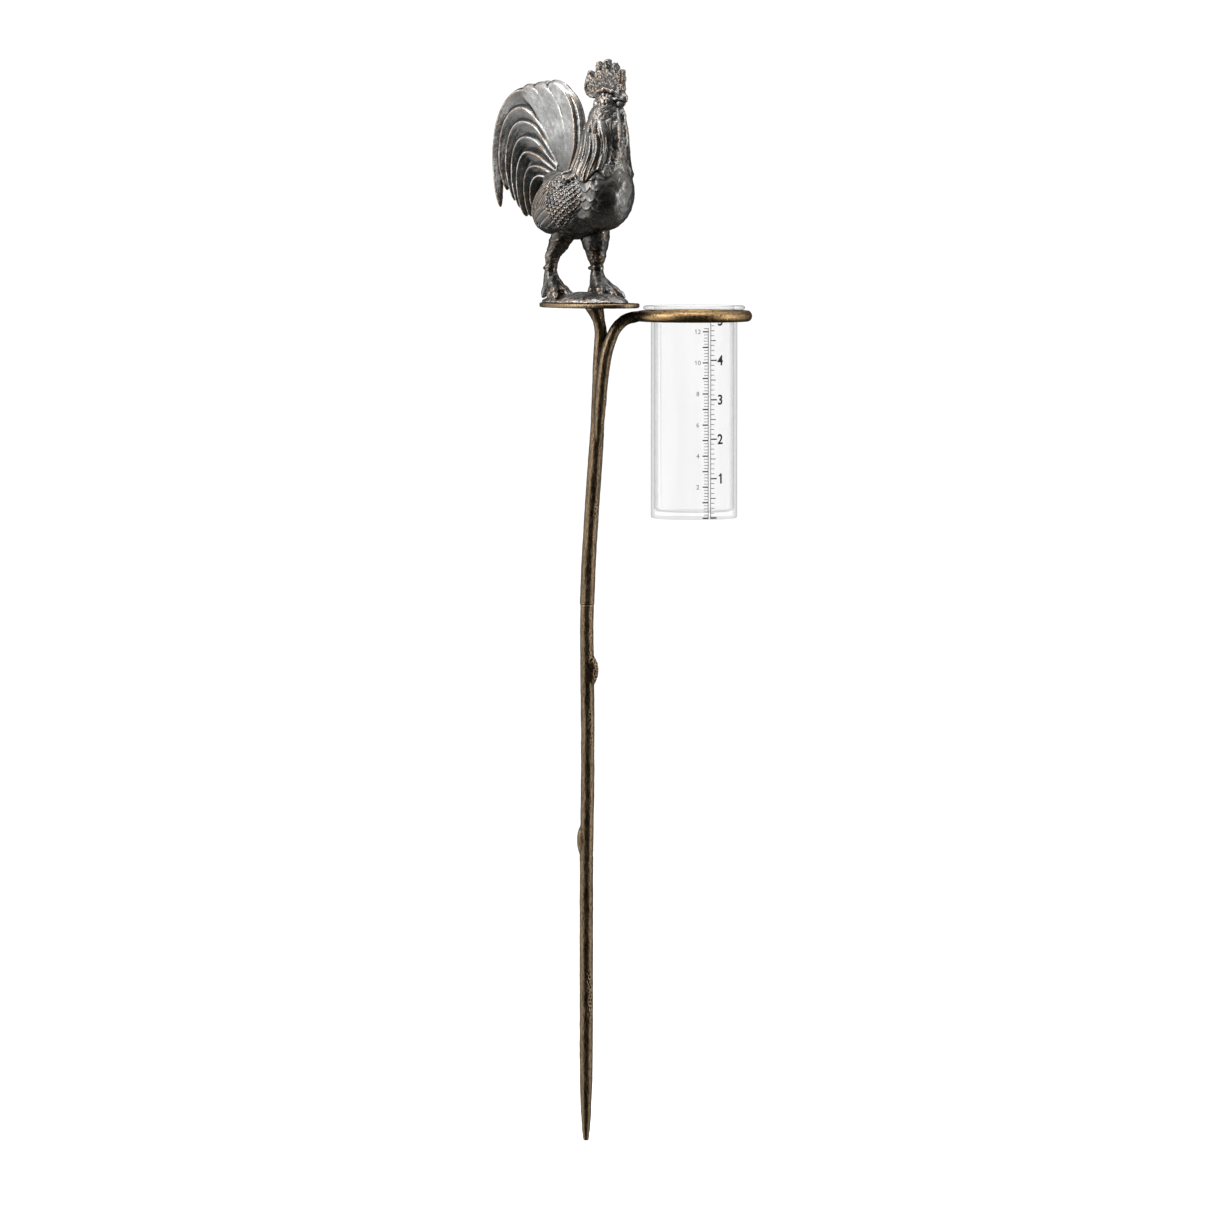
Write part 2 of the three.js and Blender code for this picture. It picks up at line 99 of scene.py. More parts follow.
def pebbles(points, cell):
    """A field of uneven round bumps about cell apart: 1 on top of each, 0 between them."""
    points = np.asarray(points, np.float32)
    warp = np.stack([smooth_noise(points + 17.0 * n, 2.2 * cell) for n in range(3)], axis=1)
    scaled = points / np.float32(cell) + 0.45 * warp
    base = np.floor(scaled).astype(int)
    nearest = np.full(len(scaled), 9.0, np.float32)
    for step in np.ndindex(3, 3, 3):
        index = base + step - 1
        wrapped = index % LATTICE_SIZE
        spot = index + JITTER[wrapped[:, 0], wrapped[:, 1], wrapped[:, 2]]
        nearest = np.minimum(nearest, ((scaled - spot) ** 2).sum(axis=1))
    return np.clip(1 - nearest / 0.5, 0, 1)


# ---- Distance fields on a grid ----


def grid(low, high, step):
    """Three open axes of a grid, which numpy spreads to a full grid as they are combined."""
    u, v, w = (np.arange(lo, hi + step, step, dtype=np.float32) for lo, hi in zip(low, high))
    return u[:, None, None], v[None, :, None], w[None, None, :]


def ramp(value, low, high):
    """0 below low, 1 above high and a smooth step between."""
    share = np.clip((value - low) / (high - low), 0, 1)
    return share * share * (3 - 2 * share)


def merge(a, b, soft):
    """The union of two fields, with a fillet about soft wide."""
    share = np.clip(0.5 + 0.5 * (b - a) / soft, 0, 1)
    return b + (a - b) * share - soft * share * (1 - share)


def ellipsoid(at, centre, half, lean=0.0):
    """An ellipsoid. A positive lean tips its front end up, in degrees."""
    u, v, w = (axis - c for axis, c in zip(at, centre))
    s, c = math.sin(math.radians(lean)), math.cos(math.radians(lean))
    u, w = c * u + s * w, c * w - s * u
    near = np.sqrt(sum((axis / h) ** 2 for axis, h in zip((u, v, w), half)))
    slope = np.sqrt(sum((axis / h**2) ** 2 for axis, h in zip((u, v, w), half)))
    return near * (near - 1) / (slope + 1e-4)


def to_segment(at, start, end):
    """For each place: how far along a segment it lies, from 0 to 1, and the square of its distance."""
    runs = [b - a for a, b in zip(start, end)]
    offsets = [axis - a for axis, a in zip(at, start)]
    along = sum(offset * run for offset, run in zip(offsets, runs))
    share = np.clip(along / sum(run**2 for run in runs), 0, 1)
    return share, sum((offset - share * run) ** 2 for offset, run in zip(offsets, runs))


def rope(at, knots, soft):
    """A chain of round-ended cones through (u, v, w, radius) knots."""
    whole = None
    for (*start, r0), (*end, r1) in zip(knots, knots[1:]):
        share, gap = to_segment(at, start, end)
        link = np.sqrt(gap) - (r0 + (r1 - r0) * share)
        whole = link if whole is None else merge(whole, link, soft)
    return whole


def blade(at, outline, half_thickness, rounding):
    """An upright plate with the given (u, w) outline, lying along v = 0, with rounded edges."""
    u, v, w = at
    inside = np.zeros(np.broadcast_shapes(u.shape, w.shape), bool)
    nearest = np.full(inside.shape, 1e9, np.float32)
    for (u0, w0), (u1, w1) in zip(outline, outline[1:] + outline[:1]):
        nearest = np.minimum(nearest, to_segment((u, w), (u0, w0), (u1, w1))[1])
        inside ^= ((w0 > w) != (w1 > w)) & (u < (u1 - u0) * (w - w0) / (w1 - w0 or 1e-9) + u0)
    flat = np.where(inside, -np.sqrt(nearest), np.sqrt(nearest)) + rounding
    side = np.abs(v) - half_thickness + rounding
    outer = np.sqrt(np.maximum(flat, 0) ** 2 + np.maximum(side, 0) ** 2)
    return outer + np.minimum(np.maximum(flat, side), 0) - rounding


CARVE_REACH = 2.5  # how near the surface a relief is worked out, in millimetres


def carve(field, at, relief):
    """Raises a field's surface by relief(points)."""
    near = np.abs(field) < CARVE_REACH
    points = np.stack([np.broadcast_to(axis, field.shape)[near] for axis in at], axis=1)
    field[near] -= relief(points)
    return field


CELL_CORNERS = np.array(list(np.ndindex(2, 2, 2)))
CELL_EDGES = [
    (a, b) for a in range(8) for b in range(a + 1, 8) if np.abs(CELL_CORNERS[a] - CELL_CORNERS[b]).sum() == 1
]


def skin(field, at, step):
    """The surface where a field is zero, as points and outward quads: one point in each cell it crosses."""
    inside = field < 0
    cells_shape = tuple(np.array(field.shape) - 1)
    count = np.zeros(cells_shape, np.int8)
    for i, j, k in CELL_CORNERS:
        count += inside[i : cells_shape[0] + i, j : cells_shape[1] + j, k : cells_shape[2] + k]
    crossed = (count > 0) & (count < 8)
    cells = np.argwhere(crossed)
    corner_values = [field[tuple((cells + corner).T)] for corner in CELL_CORNERS]
    total = np.zeros((len(cells), 3))
    hits = np.zeros(len(cells))
    for a, b in CELL_EDGES:
        value_a, value_b = corner_values[a], corner_values[b]
        changes = (value_a < 0) != (value_b < 0)
        share = np.where(changes, value_a / np.where(changes, value_a - value_b, 1), 0)
        spot = CELL_CORNERS[a] + share[:, None] * (CELL_CORNERS[b] - CELL_CORNERS[a])
        total += spot * changes[:, None]
        hits += changes
    low = np.array([axis.ravel()[0] for axis in at])
    points = (cells + total / hits[:, None]) * step + low

    number = np.full(cells_shape, -1, np.int64)
    number[crossed] = np.arange(len(cells))
    quads = []
    for axis in range(3):
        one, two = (axis + 1) % 3, (axis + 2) % 3
        start = [slice(1, n - 1) for n in field.shape]
        start[axis] = slice(0, field.shape[axis] - 1)
        end = list(start)
        end[axis] = slice(1, field.shape[axis])
        lower, upper = inside[tuple(start)], inside[tuple(end)]
        edges = np.argwhere(lower != upper)
        outward = lower[tuple(edges.T)]
        edges[:, one] += 1
        edges[:, two] += 1
        around = []
        for back_one, back_two in ((1, 1), (0, 1), (0, 0), (1, 0)):
            cell = edges.copy()
            cell[:, one] -= back_one
            cell[:, two] -= back_two
            around.append(number[tuple(cell.T)])
        quad = np.stack(around, axis=1)
        quads.append(np.where(outward[:, None], quad, quad[:, ::-1]))
    return points, np.concatenate(quads)


# ---- Meshes ----


def make_mesh(name, points, quads):
    """A smooth-shaded mesh of quads."""
    mesh = bpy.data.meshes.new(name)
    mesh.vertices.add(len(points))
    mesh.vertices.foreach_set("co", np.asarray(points, np.float32).ravel())
    mesh.loops.add(quads.size)
    mesh.loops.foreach_set("vertex_index", quads.astype(np.int32).ravel())
    mesh.polygons.add(len(quads))
    mesh.polygons.foreach_set("loop_start", np.arange(0, quads.size, 4, dtype=np.int32))
    mesh.polygons.foreach_set("use_smooth", np.ones(len(quads), bool))
    mesh.update(calc_edges=True)
    mesh.validate()
    return mesh


def read_vectors(items, key):
    """One vector of each item of a mesh, as an array."""
    vectors = np.zeros(len(items) * 3, np.float32)
    items.foreach_get(key, vectors)
    return vectors.reshape(-1, 3).astype(float)


def get_points(mesh):
    """A mesh's points as an array."""
    return read_vectors(mesh.vertices, "co")


def get_normals(mesh):
    """A mesh's point normals as an array."""
    return read_vectors(mesh.vertex_normals, "vector")


def set_points(mesh, points):
    """Moves a mesh's points."""
    mesh.vertices.foreach_set("co", np.asarray(points, np.float32).ravel())
    mesh.update()


def relaxed(mesh, points, rounds):
    """Points moved towards the average of their neighbours, a number of times."""
    ends = np.zeros(len(mesh.edges) * 2, np.int32)
    mesh.edges.foreach_get("vertices", ends)
    a, b = ends.reshape(-1, 2).T
    total = len(points)
    near = np.bincount(a, minlength=total) + np.bincount(b, minlength=total)
    for _ in range(rounds):
        sums = [np.bincount(a, points[b, i], total) + np.bincount(b, points[a, i], total) for i in range(3)]
        points = 0.4 * points + 0.6 * np.stack(sums, axis=1) / np.maximum(near, 1)[:, None]
    return points


def mark(mesh, name, values):
    """Stores a value for each point, for the mesh's material to read."""
    attribute = mesh.attributes.new(name, "FLOAT", "POINT")
    attribute.data.foreach_set("value", values.astype(np.float32))


def mark_ridges(mesh, broad):
    """Marks how far each point stands above its near and its broad surroundings, in millimetres."""
    points, normals = get_points(mesh), get_normals(mesh)
    for name, rounds in (("ridge", 3), ("swell", broad)):
        mark(mesh, name, ((points - relaxed(mesh, points, rounds)) * normals).sum(axis=1) / MM)


def mark_polish(mesh, polish_and_painted_light):
    """Marks each point's polish together with its painted highlight and shade, kept to 0 to 1."""
    mark(mesh, "polish_and_painted_light", np.clip(polish_and_painted_light, 0, 1))


def add_object(name, data):
    """A new object in the scene."""
    made = bpy.data.objects.new(name, data)
    bpy.context.scene.collection.objects.link(made)
    return made


def final_mesh(source):
    """The mesh that an object's modifiers or font make of it. The object itself is deleted."""
    mesh = bpy.data.meshes.new_from_object(source.evaluated_get(bpy.context.evaluated_depsgraph_get()))
    bpy.data.objects.remove(source)
    return mesh


def finish(mesh, material):
    """Gives a mesh its only material."""
    mesh.materials.clear()
    mesh.materials.append(material)


def add_piece(name, mesh, material, body, nodes=()):
    """Adds a piece with its finish and its body, and hides the CAD nodes it stands for."""
    finish(mesh, material)
    piece = add_object(name, mesh)
    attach(piece, body)
    if nodes:
        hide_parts(*nodes)


# ---- Materials ----


class Tree:
    """The node tree of a material or of the world, with short calls for the nodes used here."""

    def __init__(self, owner):
        owner.use_nodes = True
        self.owner = owner
        self.nodes = owner.node_tree.nodes
        self.links = owner.node_tree.links

    def node(self, kind, inputs=None, **settings):
        made = self.nodes.new(kind)
        for key, value in settings.items():
            setattr(made, key, value)
        for key, value in (inputs or {}).items():
            self.feed(made.inputs[key], value)
        return made

    def feed(self, socket, value):
        if isinstance(value, bpy.types.NodeSocket):
            self.links.new(value, socket)
        else:
            socket.default_value = value

    def set(self, **inputs):
        """Feeds the surface of a material."""
        for key, value in inputs.items():
            self.feed(self.nodes["Principled BSDF"].inputs[key.replace("_", " ")], value)

    def place(self, stretch=(1, 1, 1)):
        """Positions in millimetres, scaled along each axis."""
        scale = [1000 * s for s in stretch]
        coordinates = self.node("ShaderNodeTexCoord").outputs["Object"]
        return self.node("ShaderNodeMapping", {"Vector": coordinates, "Scale": scale}).outputs[0]

    def noise(self, size, detail=3, stretch=(1, 1, 1)):
        """Soft noise over a distance of size millimetres, 0 to 1."""
        inputs = {"Vector": self.place(stretch), "Scale": 1 / size, "Detail": detail}
        return self.node("ShaderNodeTexNoise", inputs).outputs["Fac"]

    def attribute(self, name):
        return self.node("ShaderNodeAttribute", attribute_name=name).outputs["Fac"]

    def band(self, value, low, high, out_low=0.0, out_high=1.0):
        """Maps low..high to out_low..out_high, clamped, with a smooth step."""
        inputs = {"Value": value, "From Min": low, "From Max": high, "To Min": out_low, "To Max": out_high}
        return self.node("ShaderNodeMapRange", inputs, interpolation_type="SMOOTHSTEP").outputs[0]

    def math(self, operation, a, b=0.0):
        return self.node("ShaderNodeMath", {0: a, 1: b}, operation=operation).outputs[0]

    def plus(self, a, b):
        return self.math("ADD", a, b)

    def times(self, a, b):
        return self.math("MULTIPLY", a, b)

    def swing(self, value, reach):
        """A value of 0 to 1 as a swing about 0, reach wide from end to end."""
        return self.times(self.math("SUBTRACT", value, 0.5), reach)

    def mix(self, share, a, b):
        """A mix of two colours."""
        return self.node("ShaderNodeMix", {0: share, 6: a, 7: b}, data_type="RGBA").outputs[2]

    def mix_shaders(self, share, a, b):
        return self.node("ShaderNodeMixShader", {0: share, 1: a.outputs[0], 2: b.outputs[0]}).outputs[0]

    def bump(self, height, depth_mm, strength=1.0):
        inputs = {"Height": height, "Distance": depth_mm * MM, "Strength": strength}
        return self.node("ShaderNodeBump", inputs).outputs[0]


def new_material(name):
    return Tree(bpy.data.materials.new(name))


def colour(red, green, blue):
    """A linear colour from sRGB values of 0 to 255."""
    linear = [c / 255 / 12.92 if c <= 10 else ((c / 255 + 0.055) / 1.055) ** 2.4 for c in (red, green, blue)]
    return (*linear, 1.0)


def pewter_material():
    """Old cast metal with brown and a little green. Painted shade darkens its broad hollows and turns the
    deepest near black; its ridges are silvery, partly rubbed metal and partly a painted highlight.
    """
    s = new_material("pewter_patina")
    mottle = s.noise(2.6, 5)
    patch = s.noise(11, 4)
    high = s.plus(s.attribute("ridge"), s.swing(mottle, 0.02))
    wide = s.plus(s.attribute("swell"), s.swing(patch, 0.6))
    # Both tones darken in broad hollows: painted shade, evened out with random patches.
    dull = s.mix(s.band(wide, -0.3, 0.4), colour(16, 15, 14), colour(55, 53, 49))
    bright = s.mix(s.band(wide, -0.3, 0.4), colour(90, 89, 87), colour(168, 169, 168))
    # The mark mixes rubbed wear with painted highlight and shade, as each piece's function gives it.
    tone = s.mix(s.attribute("polish_and_painted_light"), dull, bright)
    green = s.times(s.band(high, 0.0, -0.04), s.band(patch, 0.5, 0.62))
    tone = s.mix(s.times(green, 0.45), tone, colour(70, 86, 76))
    brown = s.times(s.band(high, 0.0, 0.06), s.band(s.noise(12, 3), 0.38, 0.54))
    tone = s.mix(s.times(brown, 0.75), tone, colour(112, 84, 52))
    # Silver on the ridges: partly rubbed metal, partly a painted highlight.
    silver_wear_and_highlight = s.times(s.band(high, 0.03, 0.1), s.band(s.noise(9, 3), 0.4, 0.58))
    tone = s.mix(s.times(silver_wear_and_highlight, 0.65), tone, colour(176, 172, 170))
    # Painted shade: the deepest hollows turned near black.
    tone = s.mix(s.band(high, -0.015, -0.065), tone, colour(7, 6, 6))
    rough = s.band(mottle, 0.3, 0.7, 0.22, 0.38)
    grain = s.plus(s.noise(0.6, 3), s.times(s.noise(1.4, 2), 1.2))
    s.set(Base_Color=tone, Metallic=0.9, Roughness=rough, Normal=s.bump(grain, 0.1))
    s.set(Coat_Weight=0.3, Coat_Roughness=0.16)
    return s.owner


def bronze_material():
    """Dark brown antique bronze, finely hammered, worn on the high spots, and golden where polished."""
    s = new_material("bronze_patina")
    polish_and_painted_light = s.attribute("polish_and_painted_light")
    down, around = s.noise(0.9, 4, (1, 1, 0.3)), s.noise(0.9, 4, (0.3, 0.3, 1))
    fleck = s.plus(down, s.times(s.math("SUBTRACT", around, down), polish_and_painted_light))
    patch = s.noise(11, 4, (1, 1, 0.5))
    high = s.plus(s.attribute("ridge"), s.swing(fleck, 0.09))
    dark = s.mix(s.band(patch, 0.35, 0.65), colour(48, 39, 32), colour(72, 59, 47))
    tone = s.mix(polish_and_painted_light, dark, colour(88, 68, 44))
    worn = s.mix(polish_and_painted_light, colour(136, 117, 90), colour(174, 144, 100))
    tone = s.mix(s.band(high, -0.02, 0.05, 0, 0.65), tone, worn)
    tone = s.mix(s.band(high, -0.015, -0.06), tone, colour(24, 18, 14))
    rough = s.band(fleck, 0.3, 0.7, 0.24, 0.4)
    dots = s.plus(s.noise(0.5, 2), s.times(s.noise(1.1, 2), 1.0))
    s.set(Base_Color=tone, Metallic=1.0, Roughness=rough, Normal=s.bump(dots, 0.13))
    return s.owner


def steel_material():
    """Plain turned steel, blackened."""
    s = new_material("steel_hardware")
    cloud = s.noise(3, 3)
    tone = s.mix(s.band(cloud, 0.3, 0.7), colour(34, 33, 32), colour(52, 50, 48))
    s.set(Base_Color=tone, Metallic=1.0, Roughness=s.band(cloud, 0.2, 0.8, 0.32, 0.46))
    s.set(Normal=s.bump(s.noise(0.3, 2, (0.2, 0.2, 3)), 0.02))
    return s.owner


def clear_material():
    """Clear plastic: see-through and faintly grey, and greyer where its outside is seen edge on, which is
    painted shade.
    """
    s = new_material("clear_tube")
    view = s.node("ShaderNodeLayerWeight", {"Blend": 0.5})
    haze = s.band(s.noise(14, 3, (1, 1, 0.12)), 0.35, 0.65, 0.962, 0.974)
    # Painted shade: grey laid on where the surface is seen edge on, deepest on the outside and the flange.
    edge = s.math("POWER", view.outputs["Facing"], 4.0)
    depth = s.band(s.attribute("polish_and_painted_light"), 0.0, 1.0, 0.09, 0.46)
    shade = s.math("SUBTRACT", haze, s.times(edge, depth))
    tint = s.node("ShaderNodeCombineColor", {"Red": shade, "Green": shade, "Blue": shade}).outputs[0]
    clear = s.node("ShaderNodeBsdfTransparent", {"Color": tint})
    shine = s.node("ShaderNodeBsdfGlossy", {"Color": (0.9, 0.9, 0.92, 1), "Roughness": 0.08})
    share = s.times(s.node("ShaderNodeFresnel", {"IOR": 1.2}).outputs[0], 0.16)
    s.feed(s.nodes["Material Output"].inputs["Surface"], s.mix_shaders(share, clear, shine))
    s.nodes.remove(s.nodes["Principled BSDF"])
    return s.owner


def ink_material(name, dark):
    """Matte print."""
    s = new_material(name)
    deep, faded = colour(dark, dark, dark + 2), colour(dark + 16, dark + 16, dark + 18)
    tone = s.mix(s.band(s.noise(0.6, 3), 0.4, 0.7), deep, faded)
    s.set(Base_Color=tone, Roughness=0.65, Specular_IOR_Level=0.2)
    return s.owner


PEWTER = pewter_material()
BRONZE = bronze_material()
STEEL = steel_material()
CLEAR = clear_material()
INK = ink_material("printed_ink", 14)
GREY_INK = ink_material("printed_grey_ink", 78)

# ---- Rooster ----

# Grid spacing of the rooster's carved pieces, in millimetres.
BODY_STEP = 0.47
LIMB_STEP = 0.5
MOUND_STEP = 0.6


def add_carved(node, field, at, step, polish_and_painted_light):
    """Turns a carved field of the rooster into the casting that stands for a CAD node.

    The last argument, called on the points, says how bright each place is, from rubbed wear and from painted
    highlight and shade: 0 is dull and 1 is bright.
    """
    name = node + "_casting"
    points, quads = skin(field, at, step)
    mesh = make_mesh(name, points, quads)
    mark_polish(mesh, polish_and_painted_light(points))
    mesh.transform(FIGURE)
    mark_ridges(mesh, 24)
    add_piece(name, mesh, PEWTER, "upper_frame", [node])


def shingles(along, across, length, width, overlap, crown):
    """Rows of overlapping scales with round, raised tips that point along: a height from 0 to 1."""
    row = np.floor(along / length)
    height = np.zeros_like(along)
    for back in (0, 1):
        this_row = row - back
        shift = 0.5 * width * (this_row % 2)
        column = np.round((across - shift) / width)
        aside = np.clip(np.abs(across - shift - column * width) / (0.5 * width), 0, 1)
        reach = length * (1 + overlap * np.sqrt(1 - aside**2))
        travelled = along - this_row * length
        lip = np.exp(-(((reach - travelled) / (0.3 * length)) ** 2))
        scale = (0.3 * travelled / reach + 0.7 * lip) * (1 - crown * aside**2)
        height = np.where(travelled < reach, scale, height) if back else scale
    return height


def strands(along, across, length, width):
    """Long narrow feathers side by side, ending in points at uneven places: a height from 0 to 1."""
    column = np.round(across / width)
    aside = 2 * np.abs(across / width - column)
    start = (np.sin(column * 12.9) * 43.7) % 1.0
    travelled = (along / length + start) % 1.0
    room = np.sqrt(1 - travelled**4) + 0.05
    height = (0.5 + 0.5 * travelled) * (1 - 0.9 * np.clip(aside / room, 0, 1) ** 2)
    return np.where(aside < room, height, 0.05)


WING_CENTRE = (-11.5, 14.5, 64.5)
WING_HALF = (24.5, 8.5, 17.5)
WING_LEAN = 30.0


def wing_axes(u, w):
    """Distance from the wing's middle towards its tip, and towards its upper edge."""
    lean = math.radians(WING_LEAN)
    u, w = u - WING_CENTRE[0], w - WING_CENTRE[2]
    return -u * math.cos(lean) - w * math.sin(lean), -u * math.sin(lean) + w * math.cos(lean)


def wing_relief(u, w, along, across, rough):
    """Small scales over the shoulder, and long flight feathers behind and below them."""
    down, beside = -0.3 * u - 0.95 * w, 0.95 * u - 0.3 * w
    scales = shingles(down + 0.5 * rough, beside + 0.5 * rough, 2.5, 3.5, 0.95, 0.1)
    vane = (across / 4.6 + 0.015 * along) % 1.0
    flights = 0.1 + 1.1 * vane + 0.08 * np.sin(2 * math.pi * (across / 1.15 + 0.1 * along))
    edge = -16.5 + 0.55 * np.maximum(61 - w, 0)
    front = ramp(u, edge - 1, edge + 1)
    return 0.95 * scales * front + flights * (1 - front)


def saddle_relief(u, w):
    """Fine feathers that sweep back from the foot of the neck and then down round the rump."""
    away = np.hypot(u - 2, w - 52)
    swept = np.arctan2(2 - u, w - 52) * 32
    fine = strands(swept, away + 0.5 * np.sin(swept / 7), 26.0, 1.7)
    locks = strands(swept + 9, away + 0.8 * np.sin(swept / 9), 40.0, 5.2)
    return 0.75 * fine + 0.55 * locks


def neck_relief(points, turn):
    """Long swaying hackles behind, and a rough throat in front and above."""
    w = points[:, 2]
    sway = 2.6 * np.sin((w - 90) / 9.0) + 1.5 * smooth_noise(points, 16)
    spread = turn * (13 + 0.12 * (112 - w))
    locks = strands(132 - w, spread + sway, 44.0, 4.6)
    fine = strands(136 - w, spread + 1.25 * sway + 2, 27.0, 2.3)
    hackles = 0.2 + 1.25 * locks + 0.55 * fine
    throat = 0.32 * pebbles(points, 1.5) + 0.7 * layered_noise(points, 8, 3)
    share = ramp(turn, 0.45, 0.85) * (1 - ramp(w, 114, 120))
    return share * hackles + (1 - share) * (0.3 + throat)


def body_relief(points):
    """Feathers of the body and neck, as heights in millimetres."""
    u, v, w = points.T
    side = np.abs(v)
    along, across = wing_axes(u, w)
    shape = np.sqrt((along / (WING_HALF[0] - 0.5)) ** 2 + (across / (WING_HALF[2] - 0.5)) ** 2)
    on_wing = (1 - ramp(shape, 0.92, 1.0)) * ramp(side, 9, 13)
    on_rear = (1 - ramp(u, -17.5, -15.5)) * ramp(w, 59, 64)
    on_wing = on_wing * (1 - on_rear) * (1 - ramp(shape, 0.8, 0.9) * (1 - ramp(u, -10, -6)))

    turn = np.arctan2(side, u - (10 + (w - 84) * 8 / 48))
    hem = 80 + 5 * np.cos(turn) + 3.0 * np.sin(turn * 8)
    above = ramp(w, 125, 129)
    on_neck = ramp(w, hem - 1, hem + 1.5) * (1 - above)
    on_saddle = ramp(-u, 2, 8) * ramp(w, 44, 50) * (1 - on_wing) * (1 - on_neck)
    plain = (1 - on_wing) * (1 - on_neck) * (1 - on_saddle) * (1 - above)

    girth = np.arctan2(side, u - 3) * 24 + 2.4 * smooth_noise(points, 13)
    drop = 96 - w + 1.6 * smooth_noise(points + 40, 9)
    scallops = shingles(drop, girth, 6.5, 8.5, 0.55, 0.5) * ramp(w, 50, 62) * (1 - ramp(u, 20, 29))
    chest = 0.6 * scallops + 1.0 * smooth_noise(points, 11) + 0.4 * layered_noise(points, 5, 3)
    return (
        on_wing * wing_relief(u, w, along, across, smooth_noise(points, 6))
        + on_neck * neck_relief(points, turn)
        + on_saddle * (0.2 + saddle_relief(u, w))
        + plain * chest
        + above * (0.5 * pebbles(points, 1.6) - 0.2)
    )


def body_polish(points):
    """Lighter from the belly upwards, as painted light from above: brightest on the shoulders, hackles and
    breast, with painted shade on the belly; dull on the comb.
    """
    w = points[:, 2]
    return 0.2 + 0.26 * ramp(w, 48, 78) - 0.2 * ramp(w, 132, 138) + 0.35 * smooth_noise(points, 13)


COMB_OUTLINE = [
    (9, 133), (5.2, 132), (2, 132.4), (-1, 134.8), (-2.6, 138.4), (-1.6, 143.4), (-0.2, 147.2), (1, 149.8),
    (3.2, 149), (4.4, 145.4), (6.2, 145.2), (7.4, 150.6), (8.2, 155), (9.2, 156), (11.2, 152.8), (12.2, 149),
    (13.6, 152.8), (15.4, 157.2), (17.4, 156.8), (18.6, 151.6), (19.4, 149), (21, 152.8), (22.8, 154.8),
    (24.8, 152.4), (25.6, 148), (27.4, 150.4), (29.4, 150.4), (30.2, 145.6), (29.4, 141.6), (30.2, 138),
    (28.4, 134), (20, 131),
]


def head_parts(at):
    """Comb, beak, brows, eyes, ear lobes and wattles, each as a field with its fillet."""
    u, v, w = at
    mirrored = (u, np.abs(v), w)
    comb = blade(at, COMB_OUTLINE, 2.9, 1.3)
    comb = carve(comb, at, lambda p: 0.5 * pebbles(p, 1.55) + 0.25 * layered_noise(p, 3, 2) - 0.15)
    upper_beak = rope(at, [
        (14, 0, 135.8, 5.4), (21, 0, 135.6, 4.6), (26.4, 0, 134.4, 3.4), (30.4, 0, 132.2, 2.0),
        (32.2, 0, 130.2, 0.9),
    ], 2)
    lower_beak = rope(at, [(21, 0, 129.2, 3.8), (27, 0, 128.6, 2.6), (30, 0, 128.7, 1.3)], 2)
    brow = rope(mirrored, [
        (28.4, 2.0, 134.2, 0.8), (24, 4.6, 136.4, 1.3), (18.5, 6.8, 137.6, 1.6), (13.5, 7.4, 136.4, 1.2),
    ], 1)
    gape = rope(mirrored, [
        (30, 1.4, 131.2, 0.6), (26, 3.6, 131.4, 0.9), (20, 6.2, 131.0, 0.8), (15, 7.2, 131.6, 0.6),
    ], 1)
    eye = ellipsoid(mirrored, (18.2, 6.4, 134.3), (1.7, 1.3, 1.4))
    lobe = ellipsoid(mirrored, (13.0, 7.6, 127.0), (2.4, 1.5, 4.2), 12)
    lobe = carve(lobe, at, lambda p: 0.3 * pebbles(p, 1.7))
    wattle = rope(mirrored, [(24.0, 2.2, 128, 2.0), (25.6, 2.8, 120, 2.2), (26.2, 3.4, 113, 3.0)], 2)
    wattle = merge(wattle, ellipsoid(mirrored, (26.4, 3.8, 108.5), (3.3, 3.0, 8.5), 6), 1.5)
    wattle = carve(wattle, at, lambda p: 0.5 * layered_noise(p, 4, 3) + 0.3 * pebbles(p, 1.7))
    return [
        (comb, 0.8), (lower_beak, 0.8), (upper_beak, 0.8), (brow, 0.8),
        (gape, 0.6), (eye, 0.2), (lobe, 1.0), (wattle, 1.2),
    ]


def build_body():
    """Body, neck and head, carved from one field."""
    at = grid((-46, -28, 34), (36, 28, 159), BODY_STEP)
    mirrored = (at[0], np.abs(at[1]), at[2])
    body = ellipsoid(at, (-6, 0, 61), (30, 19, 19.5), 10)
    body = merge(body, ellipsoid(at, (13.8, 0, 72.5), (19.4, 19.6, 24.5)), 7)
    body = merge(body, ellipsoid(at, (-21, 0, 72), (16, 13, 11.5), -30), 6)
    neck = rope(at, [
        (9, 0, 85, 17.4), (12.5, 0, 97, 15.2), (14.5, 0, 108, 13.0), (15.3, 0, 118.5, 10.8),
        (16.8, 0, 127.5, 8.6),
    ], 3)
    body = merge(body, neck, 6)
    body = merge(body, ellipsoid(mirrored, WING_CENTRE, WING_HALF, WING_LEAN), 1.5)
    body = merge(body, ellipsoid(at, (17.3, 0, 131.4), (9.4, 7.2, 6.8)), 3)
    body = carve(body, at, body_relief)
    for part, soft in head_parts(at):
        body = merge(body, part, soft)
    nostril = ellipsoid(mirrored, (26.2, 2.8, 135.4), (1.3, 0.9, 0.6), -20)
    body = np.maximum(body, -nostril)
    add_carved("rooster_body", body, at, BODY_STEP, body_polish)


PATH_POINTS = 60  # points along the middle line of a tail feather


def smooth_path(knots, count):
    """Evenly numbered points on a Catmull-Rom curve through the knots."""
    knots = np.array(knots, float)
    padded = np.vstack([2 * knots[0] - knots[1], knots, 2 * knots[-1] - knots[-2]])
    spots = np.linspace(0, len(knots) - 1 - 1e-9, count)
    i = spots.astype(int)
    t = (spots - i)[:, None]
    a, b, c, d = (padded[i + n] for n in range(4))
    return 0.5 * (2 * b + (c - a) * t + (2 * a - 5 * b + 4 * c - d) * t**2 + (3 * b - a - 3 * c + d) * t**3)


